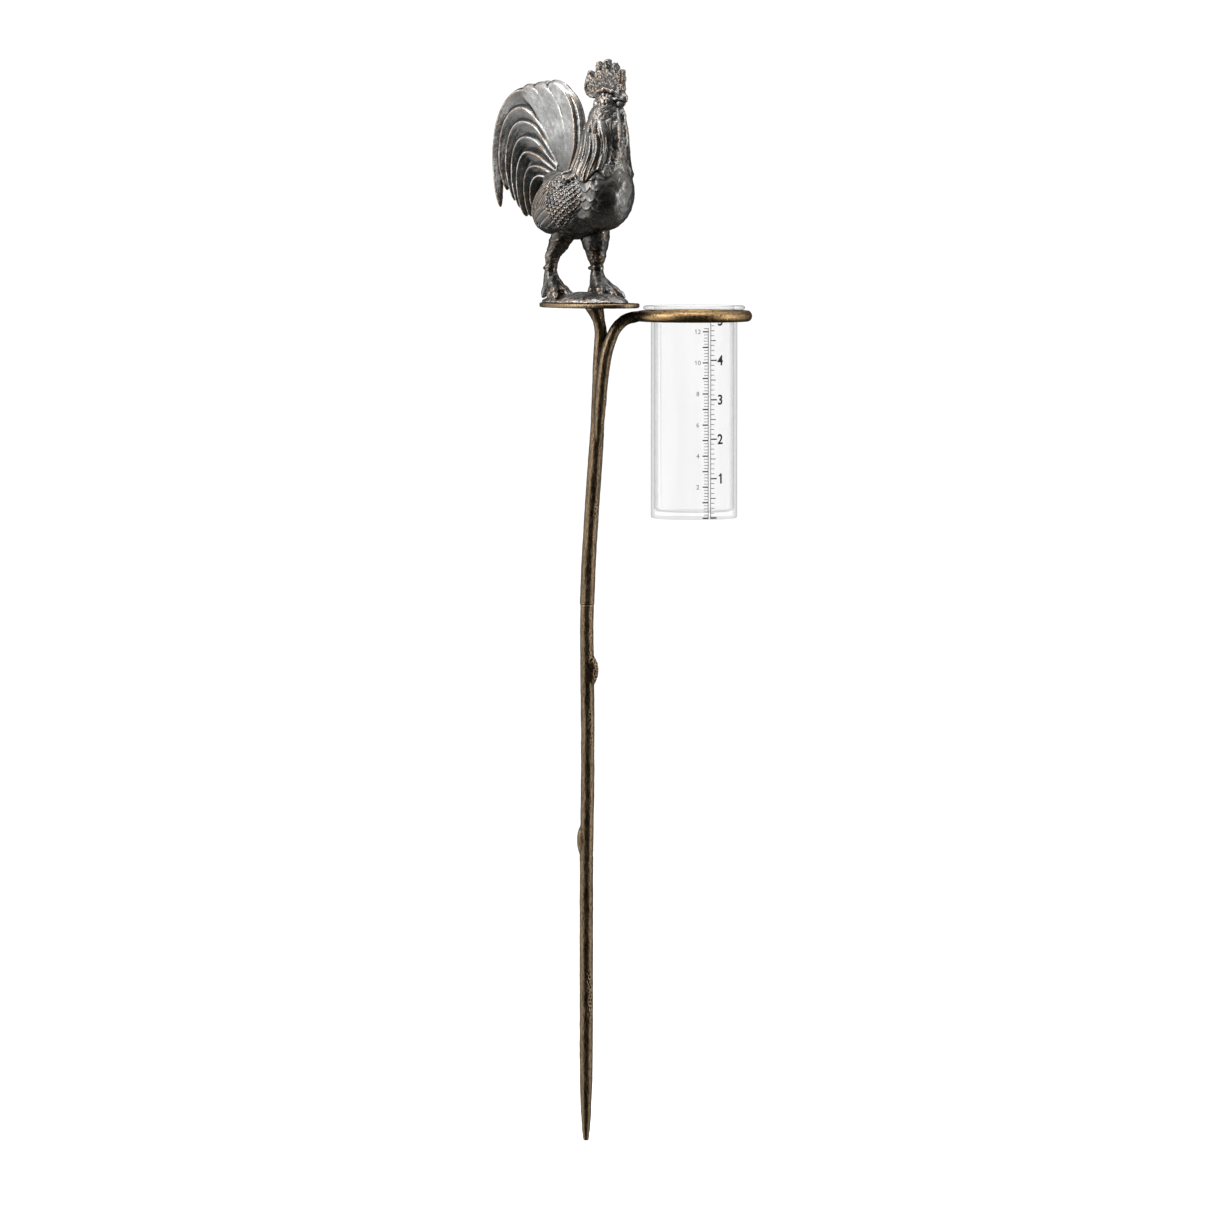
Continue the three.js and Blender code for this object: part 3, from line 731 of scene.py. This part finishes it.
def path_frame(u, w, knots):
    """For each (u, w): its share of the way along the path, and its signed distance, positive on the left."""
    path = smooth_path(knots, PATH_POINTS)
    nearest = np.full(np.broadcast_shapes(u.shape, w.shape), 1e9)
    share, sign = np.zeros_like(nearest), np.ones_like(nearest)
    for n, ((u0, w0), (u1, w1)) in enumerate(zip(path, path[1:])):
        part, gap = to_segment((u, w), (u0, w0), (u1, w1))
        closer = gap < nearest
        nearest = np.where(closer, gap, nearest)
        share = np.where(closer, (n + part) / (PATH_POINTS - 1), share)
        sign = np.where(closer, np.sign((u1 - u0) * (w - w0) - (w1 - w0) * (u - u0)), sign)
    return share, sign * np.sqrt(nearest)


# Feathers of the tail as middle lines of (u, w), from root to tip, with half width and half thickness.
BROAD_FEATHERS = [
    ([(-25, 85), (-29, 102.5), (-36.5, 119), (-45.5, 131.5), (-57.5, 138.5)], 6.8, 3.9),
    ([(-22, 85), (-22, 100), (-25, 116), (-31.5, 129.5), (-46, 141)], 6.8, 4.3),
    ([(-18, 85), (-14.5, 99), (-14, 113), (-17, 126), (-23.5, 135), (-34, 141.5)], 6.4, 4.7),
    ([(-12, 87.5), (-8, 100), (-7, 112), (-8.5, 122), (-13, 131), (-21.5, 139.5)], 2.6, 3.3),
]
SICKLES = [
    ([(-27, 87.5), (-33, 107.5), (-43, 123.5), (-56, 133.5), (-68, 128), (-75.5, 115), (-78.5, 101),
      (-79.3, 87.5), (-79, 74.5), (-78, 61.5)], 5.2, 3.9),
    ([(-27, 89.5), (-35, 103.5), (-45, 115), (-55.5, 122.5), (-64, 120.5), (-70.5, 112), (-73.8, 99),
      (-74.2, 86), (-72, 72.5)], 4.6, 4.5),
    ([(-27, 88.5), (-36, 100.5), (-46, 111), (-56, 114), (-62.5, 110), (-67, 99), (-68.4, 85),
      (-65.5, 66)], 4.2, 5.1),
    ([(-27, 87), (-36, 95), (-45.5, 102.5), (-54, 104), (-59.5, 99), (-62.3, 88.5), (-62.6, 75.5),
      (-60.3, 61)], 4.0, 5.7),
    ([(-27, 84), (-36, 89), (-44.5, 93.5), (-52, 94.5), (-56.3, 87.5), (-57.6, 76.5), (-56.6, 65),
      (-54.8, 55.5)], 3.7, 6.3),
    ([(-27, 81.5), (-35, 84), (-42, 86), (-47.6, 85), (-50.6, 78.5), (-51.6, 69), (-50.8, 55.5)], 3.4, 6.8),
    ([(-27, 78), (-35, 79.5), (-40.5, 80), (-44.5, 76.5), (-46.4, 69), (-47, 58.5)], 3.0, 7.2),
]
TAIL_WEB = [
    (-20, 78.5), (-10, 91.5), (-6.5, 103.5), (-5.5, 114), (-7, 123), (-12, 131.5), (-22, 139), (-35, 144),
    (-48, 141.5), (-60, 135.5), (-71, 125), (-77, 113), (-79, 100), (-78, 83), (-72, 74.5), (-62, 66),
    (-54, 59.5), (-46, 61.5), (-34, 70),
]


def feather_height(u, w, knots, half_width, half_thickness, tip, slope, groove):
    """Half thickness of one tail feather over (u, w): raised along its outer edge and falling inwards."""
    share, offset = path_frame(u, w, knots)
    width = half_width * np.sqrt(np.clip(1 - np.clip((share - 1 + tip) / tip, 0, 1) ** 2, 1e-4, 1))
    width = width * (0.62 + 0.38 * ramp(share, 0, 0.3))
    aside = offset / width
    outer_edge = np.sqrt(np.clip(1 - (np.clip(-aside - 0.7, 0, 1) / 0.3) ** 2, 0, 1))
    inner_edge = np.sqrt(np.clip(1 - (np.clip(aside - 0.6, 0, 1) / 0.4) ** 2, 0, 1))
    fall = 1 - slope * (aside + 1) / 2
    rim = 0.3 * np.exp(-(((aside + 0.8) / 0.16) ** 2))
    grooves = groove * np.sin(2 * math.pi * offset / 2.3 + 1.5 * np.sin(9 * share))
    height = (half_thickness * fall + rim + grooves) * np.minimum(outer_edge, inner_edge)
    return np.where(np.abs(aside) < 1, height * (0.55 + 0.45 * (width / half_width)), 0)


def tail_polish(points):
    """Brighter on the upright feathers as a painted highlight, darker among the sickles and at the root."""
    u, w = points[:, 0], points[:, 2]
    upright = ramp(u + 0.55 * (w - 100), -42, -26) * ramp(w, 92, 116)
    return 0.36 + 0.66 * upright + 0.3 * smooth_noise(points, 14)


EDGE_THICKNESS = 0.25  # half thickness at which the tail's outline is cut, in millimetres


def softened(height, rounds):
    """A map of heights over (u, w) with its steps evened out."""
    for _ in range(rounds):
        for axis in (0, 2):
            height = 0.5 * height + 0.25 * (np.roll(height, 1, axis) + np.roll(height, -1, axis))
    return height


def build_tail():
    """Upright broad feathers and nested sickles, as a plate whose thickness is drawn over (u, w)."""
    at = grid((-88, -11, 52), (0, 11, 148), LIMB_STEP)
    u, v, w = at
    flat = blade((u, 0 * v[:, :1], w), TAIL_WEB, 9.0, 1.0)
    height = 1.8 * np.sqrt(ramp(-flat, 0, 2.0))
    for feathers, *style in ((BROAD_FEATHERS, 0.2, 0.1, 0.03), (SICKLES, 0.5, 0.68, 0.06)):
        for feather in feathers:
            height = np.maximum(height, feather_height(u, w, *feather, *style))
    height = softened(height, 2)
    height -= EDGE_THICKNESS + 0.75 * (1 - ramp(height, 0, EDGE_THICKNESS))
    tail = (np.abs(v) - height) * 0.75
    tail = merge(tail, rope(at, [(-18, 0, 74, 8.5), (-27, 0, 77, 6.5)], 2), 1.0)
    tail = carve(tail, at, lambda p: 0.07 * layered_noise(p, 2.4, 3))
    add_carved("rooster_tail", tail, at, LIMB_STEP, tail_polish)


def leg_relief(points, foot_u, foot_v):
    """Feather marks on the thigh and rough, horny plates on the shank."""
    u, v, w = points.T
    turn = np.arctan2(v - foot_v, u - foot_u)
    thigh = 0.4 * shingles(60 - w, turn * 7, 5.5, 5.0, 0.7, 0.6) + 0.5 * layered_noise(points, 6, 3)
    plates = 0.25 * ((w / 2.8 + 0.7 * smooth_noise(points, 4)) % 1.0)
    grain = 0.35 * pebbles(points, 2.1) + 0.4 * layered_noise(points, 5, 2) - 0.2
    on_thigh = ramp(w, 30, 35)
    return on_thigh * thigh + (1 - on_thigh) * (plates + grain)


# Each toe's direction from straight ahead in degrees, outwards positive, its reach, and the height at which
# it leaves the leg. The taper holds places along a toe: share of its reach, height and radius.
TOES = ((0, 16, 16), (38, 17, 16), (-38, 13.5, 16), (180, 6.5, 18))
TOE_TAPER = ((0.35, 12.0, 2.7), (0.68, 8.2, 2.4), (0.92, 5.4, 1.8), (1.04, 3.6, 0.9))


def leg_polish(points):
    """Dark as painted shade, with brighter toes."""
    return 0.02 + 0.25 * smooth_noise(points, 8) + 0.3 * (1 - ramp(points[:, 2], 6, 16))


def build_leg(node, foot_u, side, lean, girth):
    """One leg with its thigh, shank, spur and webbed foot. side is 1 for the rooster's left."""
    foot_v = 8 * side
    at = grid((foot_u - 20, foot_v - 17, -1), (foot_u + 28, foot_v + 17, 58), LIMB_STEP)
    leg = rope(at, [
        (foot_u + 1.1 * lean, foot_v, 50, 10.0),
        (foot_u + 0.8 * lean, foot_v, 43.5, 8.2 * girth),
        (foot_u + 0.45 * lean, foot_v, 37, 6.5 * girth),
        (foot_u + 0.1 * lean, foot_v, 30, 4.7 * girth),
        (foot_u, foot_v, 22, 3.3),
        (foot_u, foot_v, 14, 3.6),
    ], 3)
    leg = carve(leg, at, lambda p: leg_relief(p, foot_u, foot_v))
    spur = rope(at, [(foot_u - 2.5, foot_v, 22.5, 1.9), (foot_u - 6.0, foot_v - 0.6 * side, 22.4, 1.2)], 1)
    leg = merge(leg, spur, 1.2)
    for angle, reach, start in TOES:
        cos, sin = math.cos(math.radians(angle)), math.sin(math.radians(angle) * side)
        toe = rope(at, [
            (foot_u + share * reach * cos, foot_v + share * reach * sin, height, radius)
            for share, height, radius in ((0.05, start, 3.0), *TOE_TAPER)
        ], 1.5)
        toe = carve(toe, at, lambda p: 0.2 * pebbles(p, 1.7) - 0.1)
        leg = merge(leg, toe, 3.0)
    web = rope(at, [(foot_u + 1, foot_v, 12, 3.0), (foot_u + 4, foot_v, 6.5, 6.0)], 1)
    leg = merge(leg, carve(web, at, lambda p: 0.45 * pebbles(p, 1.7)), 2.0)
    add_carved(node, np.maximum(leg, 1.0 - at[2]), at, LIMB_STEP, leg_polish)


def mound_polish(points):
    """Half bright, with brighter and duller patches."""
    return 0.5 + 0.3 * smooth_noise(points, 9)


def build_mound():
    """The rocky dome under the feet."""
    at = grid((-40, -23, -2), (33, 23, 12), MOUND_STEP)
    dome = ellipsoid(at, (-3.6, 0, 0), (33.0, 19.8, 6.8))
    dome = carve(dome, at, lambda p: 0.5 * layered_noise(p, 6, 4) + 0.25 * pebbles(p, 2.4))
    add_carved("rooster_mound", np.maximum(dome, 0.3 - at[2]), at, MOUND_STEP, mound_polish)


build_body()
build_tail()
build_leg("rooster_right_leg", -26.4, -1, 13, 0.85)
build_leg("rooster_left_leg", -0.5, 1, -2.5, 1.1)
build_mound()

# ---- Stake, ring and plate ----

SEAM_FACES = (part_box("lower_spike")[1].z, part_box("upper_stake")[0].z)
SEAM_Z = sum(SEAM_FACES) / 2
RING_CENTRE = middle("gauge_ring")
RING_LOW, RING_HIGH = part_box("gauge_ring")
RING_THICK = (RING_HIGH.z - RING_LOW.z) / 2
RING_MIDDLE = (RING_HIGH.x - RING_LOW.x) / 2 - RING_THICK


def ring_quads(rows, columns, joined):
    """Quads between rows of points that each close on themselves; joined rows close up as well."""
    row = np.arange(rows if joined else rows - 1)[:, None]
    column = np.arange(columns)[None, :]
    next_row, next_column = (row + 1) % rows, (column + 1) % columns
    corners = [
        row * columns + column,
        next_row * columns + column,
        next_row * columns + next_column,
        row * columns + next_column,
    ]
    return np.stack([np.broadcast_to(c, (len(row), columns)) for c in corners], axis=-1).reshape(-1, 4)


def full_turn(count):
    """Angles spread evenly round a circle."""
    return np.linspace(0, 2 * math.pi, count, endpoint=False)


RING_STEPS = 420
SECTION_STEPS = 40


def ring_mesh(thick):
    """A fine torus that follows the CAD ring, with a section radius of thick."""
    turn = full_turn(RING_STEPS)[:, None]
    roll = full_turn(SECTION_STEPS)[None, :]
    radial = RING_MIDDLE + thick * np.cos(roll)
    rise = thick * np.sin(roll) + 0 * turn
    points = np.stack([radial * np.cos(turn), radial * np.sin(turn), rise], axis=-1).reshape(-1, 3)
    return make_mesh("ring", points + np.array(RING_CENTRE), ring_quads(RING_STEPS, SECTION_STEPS, True))


def fused_copy(nodes, voxel, grow=0.0, extra=()):
    """One fine mesh of several CAD nodes. Each is first grown sideways, so that touching ones join."""
    points, faces, count = [], [], 0
    for mesh in (*(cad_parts[node].data for node in nodes), *extra):
        place = get_points(mesh)
        grown = place + grow * get_normals(mesh)
        grown[:, 2] = np.clip(grown[:, 2], place[:, 2].min(), place[:, 2].max())
        points.append(grown)
        faces += [[count + index for index in face.vertices] for face in mesh.polygons]
        count += len(mesh.vertices)
    rough = bpy.data.meshes.new("rough")
    rough.from_pydata(np.concatenate(points).tolist(), [], faces)
    source = add_object("rough", rough)
    remesh = source.modifiers.new("fine", "REMESH")
    remesh.mode = "VOXEL"
    remesh.voxel_size = voxel
    fine = final_mesh(source)
    fine.polygons.foreach_set("use_smooth", np.ones(len(fine.polygons), bool))
    return fine


def on_ring(points):
    """1 on the ring, 0 on the rods and the plate."""
    x, z = points[:, 0], points[:, 2]
    return ramp(x, RING_LOW.x, RING_LOW.x + 9 * MM) * ramp(z, RING_LOW.z - 6 * MM, RING_LOW.z)


def hammered(points, normals, depth, stretch):
    """Points pushed along their normals by soft dents, which run up and down where stretch is below 1."""
    ring = on_ring(points)
    place = points / MM
    place[:, 2] *= stretch + (1 - stretch) * ring
    dents = 0.6 * (1 - ring) * layered_noise(place, 3.0, 2) + 0.4 * smooth_noise(place + 31, 1.4)
    return points + normals * (depth * MM * dents)[:, None]


# Heights along the stake, in millimetres, about which the bark is pitted, with the reach of the pits.
ROUGH_PATCHES = ((297, 32), (196, 26), (105, 24), (400, 14), (470, 12))


def bark(points, normals):
    """Points sunk into scattered pits down the right-hand side of the stake, around its knots."""
    place = points / MM
    pits = pebbles(place * np.array([1, 1, 0.7]), 1.5)
    patchy = ramp(smooth_noise(place * np.array([1, 1, 0.35]), 6), -0.1, 0.3) * ramp(normals[:, 0], 0.0, 0.4)
    near = sum(np.exp(-(((place[:, 2] - height) / reach) ** 2)) for height, reach in ROUGH_PATCHES)
    return points - normals * (0.42 * MM * ramp(pits, 0.3, 0.8) * patchy * np.clip(near, 0, 1))[:, None]


def square_ends(points, normals):
    """Points on the faces of the seam moved to the upper face's height, which closes the CAD's fine gap."""
    low, high = SEAM_FACES
    near = (points[:, 2] > low - 0.5 * MM) & (points[:, 2] < high + 0.5 * MM)
    points[near & (np.abs(normals[:, 2]) > 0.6), 2] = high
    return points


def add_bronze(name, mesh, body, nodes, depth, stretch=0.35, rounds=6):
    """Finishes a fine mesh as a dented bronze casting that stands for some CAD nodes."""
    rough = get_points(mesh)
    soft = relaxed(mesh, rough, rounds)
    near_seam = np.abs(rough[:, 2] - SEAM_Z) < 1.2 * MM
    soft[near_seam] = rough[near_seam]
    set_points(mesh, soft)
    dented = hammered(soft, get_normals(mesh), depth, stretch)
    if stretch < 1:
        dented = bark(dented, get_normals(mesh))
    dented[near_seam] = soft[near_seam]
    set_points(mesh, square_ends(dented, get_normals(mesh)))
    mark_ridges(mesh, 20)
    mark_polish(mesh, 0.9 * on_ring(dented))
    add_piece(name, mesh, BRONZE, body, nodes)


def build_bronze():
    """The two lengths of the stake, with the ring cast on to the upper one, and the plate."""
    spike = fused_copy(["lower_spike"], 0.5 * MM)
    add_bronze("lower_spike_casting", spike, "ground_spike", ["lower_spike"], 0.18)
    fork = fused_copy(["upper_stake", "ring_branch"], 0.5 * MM, 0.3 * MM, [ring_mesh(RING_THICK - 0.2 * MM)])
    add_bronze("ring_fork_casting", fork, "upper_frame", ["upper_stake", "ring_branch", "gauge_ring"], 0.18)
    plate = fused_copy(["perch_plate"], 0.6 * MM)
    add_bronze("perch_plate_casting", plate, "upper_frame", ["perch_plate"], 0.12, 1.0, 3)


build_bronze()

# ---- Measuring tube, its print and the fasteners ----

CLEARANCE = 0.3 * MM
TUBE_RADIUS = 28.0 * MM
TUBE_WALL = 2.0 * MM
TUBE_CORNER = 1.5 * MM
TUBE_FLOOR_CORNER = 3.0 * MM
TUBE_FLOOR = 4.5 * MM
FLANGE_FILLET = 0.6 * MM
MOUTH_ROUND = 0.9 * MM
TUBE_STEPS = 160


def arc(centre_r, centre_z, radius, start, end, steps):
    """Points (r, z) on a circular arc, with angles in degrees from +r towards +z."""
    angles = np.radians(np.linspace(start, end, steps))
    return [(centre_r + radius * math.cos(a), centre_z + radius * math.sin(a)) for a in angles]


def tube_profile():
    """Half section of the flanged tube, from the middle of its base round to the middle of its floor."""
    low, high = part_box("gauge_tube")
    flange = (high.x - low.x) / 2
    top, base = high.z, low.z
    flange_bottom = RING_HIGH.z + CLEARANCE
    rim = (top - flange_bottom) / 2
    inner = TUBE_RADIUS - TUBE_WALL
    floor = base + TUBE_FLOOR
    return [
        (0.0, base),
        *arc(TUBE_RADIUS - TUBE_CORNER, base + TUBE_CORNER, TUBE_CORNER, -90, 0, 8),
        *arc(TUBE_RADIUS + FLANGE_FILLET, flange_bottom - FLANGE_FILLET, FLANGE_FILLET, 180, 90, 4),
        *arc(flange - rim, top - rim, rim, -90, 90, 9),
        *arc(inner + MOUTH_ROUND, top - MOUTH_ROUND, MOUTH_ROUND, 90, 180, 5),
        *arc(inner - TUBE_FLOOR_CORNER, floor + TUBE_FLOOR_CORNER, TUBE_FLOOR_CORNER, 0, -90, 8),
        (0.0, floor),
    ]


TUBE_AXIS = middle("gauge_tube")


def tube_mesh():
    """The tube's profile turned about its axis, closed at both ends on the axis."""
    profile = tube_profile()
    turn = full_turn(TUBE_STEPS)
    around = np.stack([np.cos(turn), np.sin(turn), 0 * turn], axis=1)
    rings = [r * around + (0, 0, z) for r, z in profile[1:-1]]
    points = np.concatenate(rings + [np.array([[0, 0, profile[0][1]], [0, 0, profile[-1][1]]])])
    points[:, :2] += (TUBE_AXIS.x, TUBE_AXIS.y)
    first, last = len(points) - 2, len(points) - 1
    beside = [(column, (column + 1) % TUBE_STEPS) for column in range(TUBE_STEPS)]
    end = (len(rings) - 1) * TUBE_STEPS
    faces = ring_quads(len(rings), TUBE_STEPS, False)[:, ::-1].tolist()
    faces += [(first, b, a) for a, b in beside]
    faces += [(last, end + a, end + b) for a, b in beside]
    mesh = bpy.data.meshes.new("gauge_tube_glass")
    mesh.from_pydata(points.tolist(), [], faces)
    mesh.polygons.foreach_set("use_smooth", np.ones(len(faces), bool))
    mesh.update()
    return mesh


def build_tube():
    """The clear tube. Its outside, and more so its flange, get the deepest painted edge shade."""
    tube = tube_mesh()
    points = get_points(tube)
    away = np.hypot(points[:, 0] - TUBE_AXIS.x, points[:, 1] - TUBE_AXIS.y)
    flange = ramp(away, TUBE_RADIUS + 0.2 * MM, TUBE_RADIUS + 2 * MM)
    mark_polish(tube, 0.6 * ramp(away, TUBE_RADIUS - TUBE_WALL, TUBE_RADIUS) + 0.4 * flange)
    add_piece("gauge_tube_glass", tube, CLEAR, "measuring_tube", ["gauge_tube"])


build_tube()

SCALE_ANGLE = math.radians(20)
PRINT_RADIUS = TUBE_RADIUS + 0.12 * MM
PRINT_DEPTH = 0.16 * MM
INK_SPREAD = 0.08 * MM
HALF_BOLD_LINE = 0.4 * MM
INCH = 25.4 * MM
CENTIMETRE = 10 * MM

# Name, unit, numbers, height, stretch, place round the tube from the scales' middle, boldness and ink.
NUMERALS = (
    ("inch", INCH, range(1, 6), 6.6 * MM, 0.95, 7.9 * MM, 0.022, INK),
    ("centimetre", CENTIMETRE, range(2, 13, 2), 2.9 * MM, 1.0, -7.7 * MM, 0.0, GREY_INK),
)


def add_flag(mesh):
    """A short slanting stroke at the top left of a leading one, which the built-in font draws as a bar."""
    points = get_points(mesh)
    low, high = points.min(axis=0), points.max(axis=0)
    tall = high[1] - low[1]
    outline = [(0.04, 0.0), (0.04, 0.2), (-0.19, 0.31), (-0.19, 0.2), (-0.04, 0.1)]
    corners = [(low[0] + x * tall, high[1] - y * tall) for x, y in outline]
    count = len(corners)
    shape = bmesh.new()
    shape.from_mesh(mesh)
    back, front = ([shape.verts.new((x, y, z)) for x, y in corners] for z in (low[2], high[2]))
    shape.faces.new(back)
    shape.faces.new(front[::-1])
    for n in range(count):
        following = (n + 1) % count
        shape.faces.new((back[following], back[n], front[n], front[following]))
    shape.to_mesh(mesh)
    shape.free()


def text_points(text, bold):
    """The mesh of some text in the built-in font, with its points."""
    curve = bpy.data.curves.new(text, "FONT")
    curve.body = text
    curve.extrude = 0.5
    curve.offset = bold
    curve.resolution_u = 4
    mesh = final_mesh(add_object(text, curve))
    if text.startswith("1"):
        add_flag(mesh)
    return mesh, get_points(mesh)


def add_numeral(name, text, z, height, stretch, middle_arc, bold, material):
    """A numeral printed round the tube, with its middle at middle_arc from the middle of the scales."""
    mesh, points = text_points(text, bold)
    low, high = points.min(axis=0), points.max(axis=0)
    size = high - low
    grow = np.array([stretch * height / size[1], height / size[1], PRINT_DEPTH / size[2]])
    points = (points - (low + high) / 2) * grow
    angle = SCALE_ANGLE + (points[:, 0] + middle_arc) / PRINT_RADIUS
    radius = PRINT_RADIUS + PRINT_DEPTH / 2 + points[:, 2]
    x = TUBE_AXIS.x + radius * np.sin(angle)
    y = TUBE_AXIS.y - radius * np.cos(angle)
    mesh.name = name
    set_points(mesh, np.stack([x, y, z + points[:, 1]], axis=1))
    add_piece(name, mesh, material, "measuring_tube")


def add_ladder(node):
    """A scale's ladder of marks, each a little bolder than its CAD solid."""
    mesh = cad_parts[node].data.copy()
    points, normals = get_points(mesh), get_normals(mesh)
    points[:, 2] += INK_SPREAD * np.sign(normals[:, 2])
    set_points(mesh, points)
    add_piece(node + "_print", mesh, INK, "measuring_tube", [node])


def add_numerals():
    """Whole inches in bold beside the inch ladder, and every second centimetre beside the other."""
    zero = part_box("inch_scale")[1].z - HALF_BOLD_LINE - 5 * INCH
    for name, unit, numbers, *style in NUMERALS:
        for number in numbers:
            add_numeral(f"{name}_numeral_{number}", str(number), zero + number * unit, *style)


add_ladder("inch_scale")
add_ladder("centimetre_scale")
add_numerals()

# These CAD nodes stay in view.
for fastener in ("joining_stud", "figure_screw_front", "figure_screw_rear"):
    finish(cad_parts[fastener].data, STEEL)

# ---- Floor, light and camera ----


FLOOR_RADIUS = 30.0
FLOOR_GAP = 0.0002


def make_floor():
    """A plain pale disc just under the stake's tip, wide enough to reach the horizon."""
    mesh = bpy.data.meshes.new("floor")
    rim = [(FLOOR_RADIUS * math.cos(a), FLOOR_RADIUS * math.sin(a), 0.0) for a in full_turn(96)]
    mesh.from_pydata(rim, [], [range(len(rim))])
    s = new_material("pale_floor")
    s.set(Base_Color=(0.87, 0.87, 0.87, 1), Roughness=0.9, Specular_IOR_Level=0.1)
    mesh.materials.append(s.owner)
    floor = add_object("floor", mesh)
    floor.visible_glossy = False
    floor.location.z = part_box("lower_spike")[0].z - FLOOR_GAP


def make_world():
    """White to the camera. Metal and plastic reflect a dark studio with broad bright sides and top."""
    world = bpy.data.worlds.new("studio")
    bpy.context.scene.world = world
    s = Tree(world)
    s.nodes.clear()
    direction = s.node("ShaderNodeTexCoord").outputs["Generated"]
    x, y, z = s.node("ShaderNodeSeparateXYZ", {0: direction}).outputs
    sides = s.times(s.band(s.math("ABSOLUTE", x), 0.62, 0.82), s.band(y, 0.75, 0.45))
    brighter_left = s.plus(0.75, s.times(s.band(x, 0.1, -0.1), 0.5))
    overhead = s.times(s.band(z, 0.45, 0.8), 1.1)
    glow = s.math("MAXIMUM", s.times(sides, brighter_left), overhead)
    strength = s.plus(0.05, s.times(glow, 1.5))
    white = (1, 1, 1, 1)
    lighting = s.node("ShaderNodeBackground", {"Color": white, "Strength": strength})
    seen = s.node("ShaderNodeBackground", {"Color": white, "Strength": 1.05})
    to_camera = s.node("ShaderNodeLightPath").outputs["Is Camera Ray"]
    s.node("ShaderNodeOutputWorld", {"Surface": s.mix_shaders(to_camera, lighting, seen)})


def aim(holder, place, target):
    """Puts a light or the camera in its place, facing its target."""
    holder.location = place
    holder.rotation_euler = (Vector(target) - Vector(place)).to_track_quat("-Z", "Y").to_euler()


LIGHTS_TARGET = (0, 0, 0.5)
# A key from the upper left, a tall strip on the right and a soft light overhead: name, place, width,
# height and power.
LIGHTS = (
    ("key", (-1.5, -0.7, 1.3), 0.5, 1.2, 22),
    ("strip", (1.6, -0.5, 0.7), 0.25, 1.6, 12),
    ("top", (-0.1, -0.3, 2.2), 0.9, 0.9, 16),
)


def make_lights():
    """Rectangular soft boxes."""
    for name, place, width, height, power in LIGHTS:
        light = bpy.data.lights.new(name, "AREA")
        light.shape = "RECTANGLE"
        light.size, light.size_y = width, height
        light.energy = power
        aim(add_object(name, light), place, LIGHTS_TARGET)


CAMERA_PLACE = (0.0137, -5.0, 0.6639)
CAMERA_TARGET = (0.0137, 0.0, 0.3475)
LENS = 229.3  # focal length in millimetres, on a sensor 36 wide


def make_camera():
    """The photograph's view: from the front, far away, looking slightly down."""
    camera = bpy.data.cameras.new("camera")
    camera.sensor_width = 36
    camera.lens = LENS
    camera.clip_end = 100
    holder = add_object("camera", camera)
    aim(holder, CAMERA_PLACE, CAMERA_TARGET)
    bpy.context.scene.camera = holder


make_floor()
make_world()
make_lights()
make_camera()
bpy.context.scene.view_settings.view_transform = "Standard"
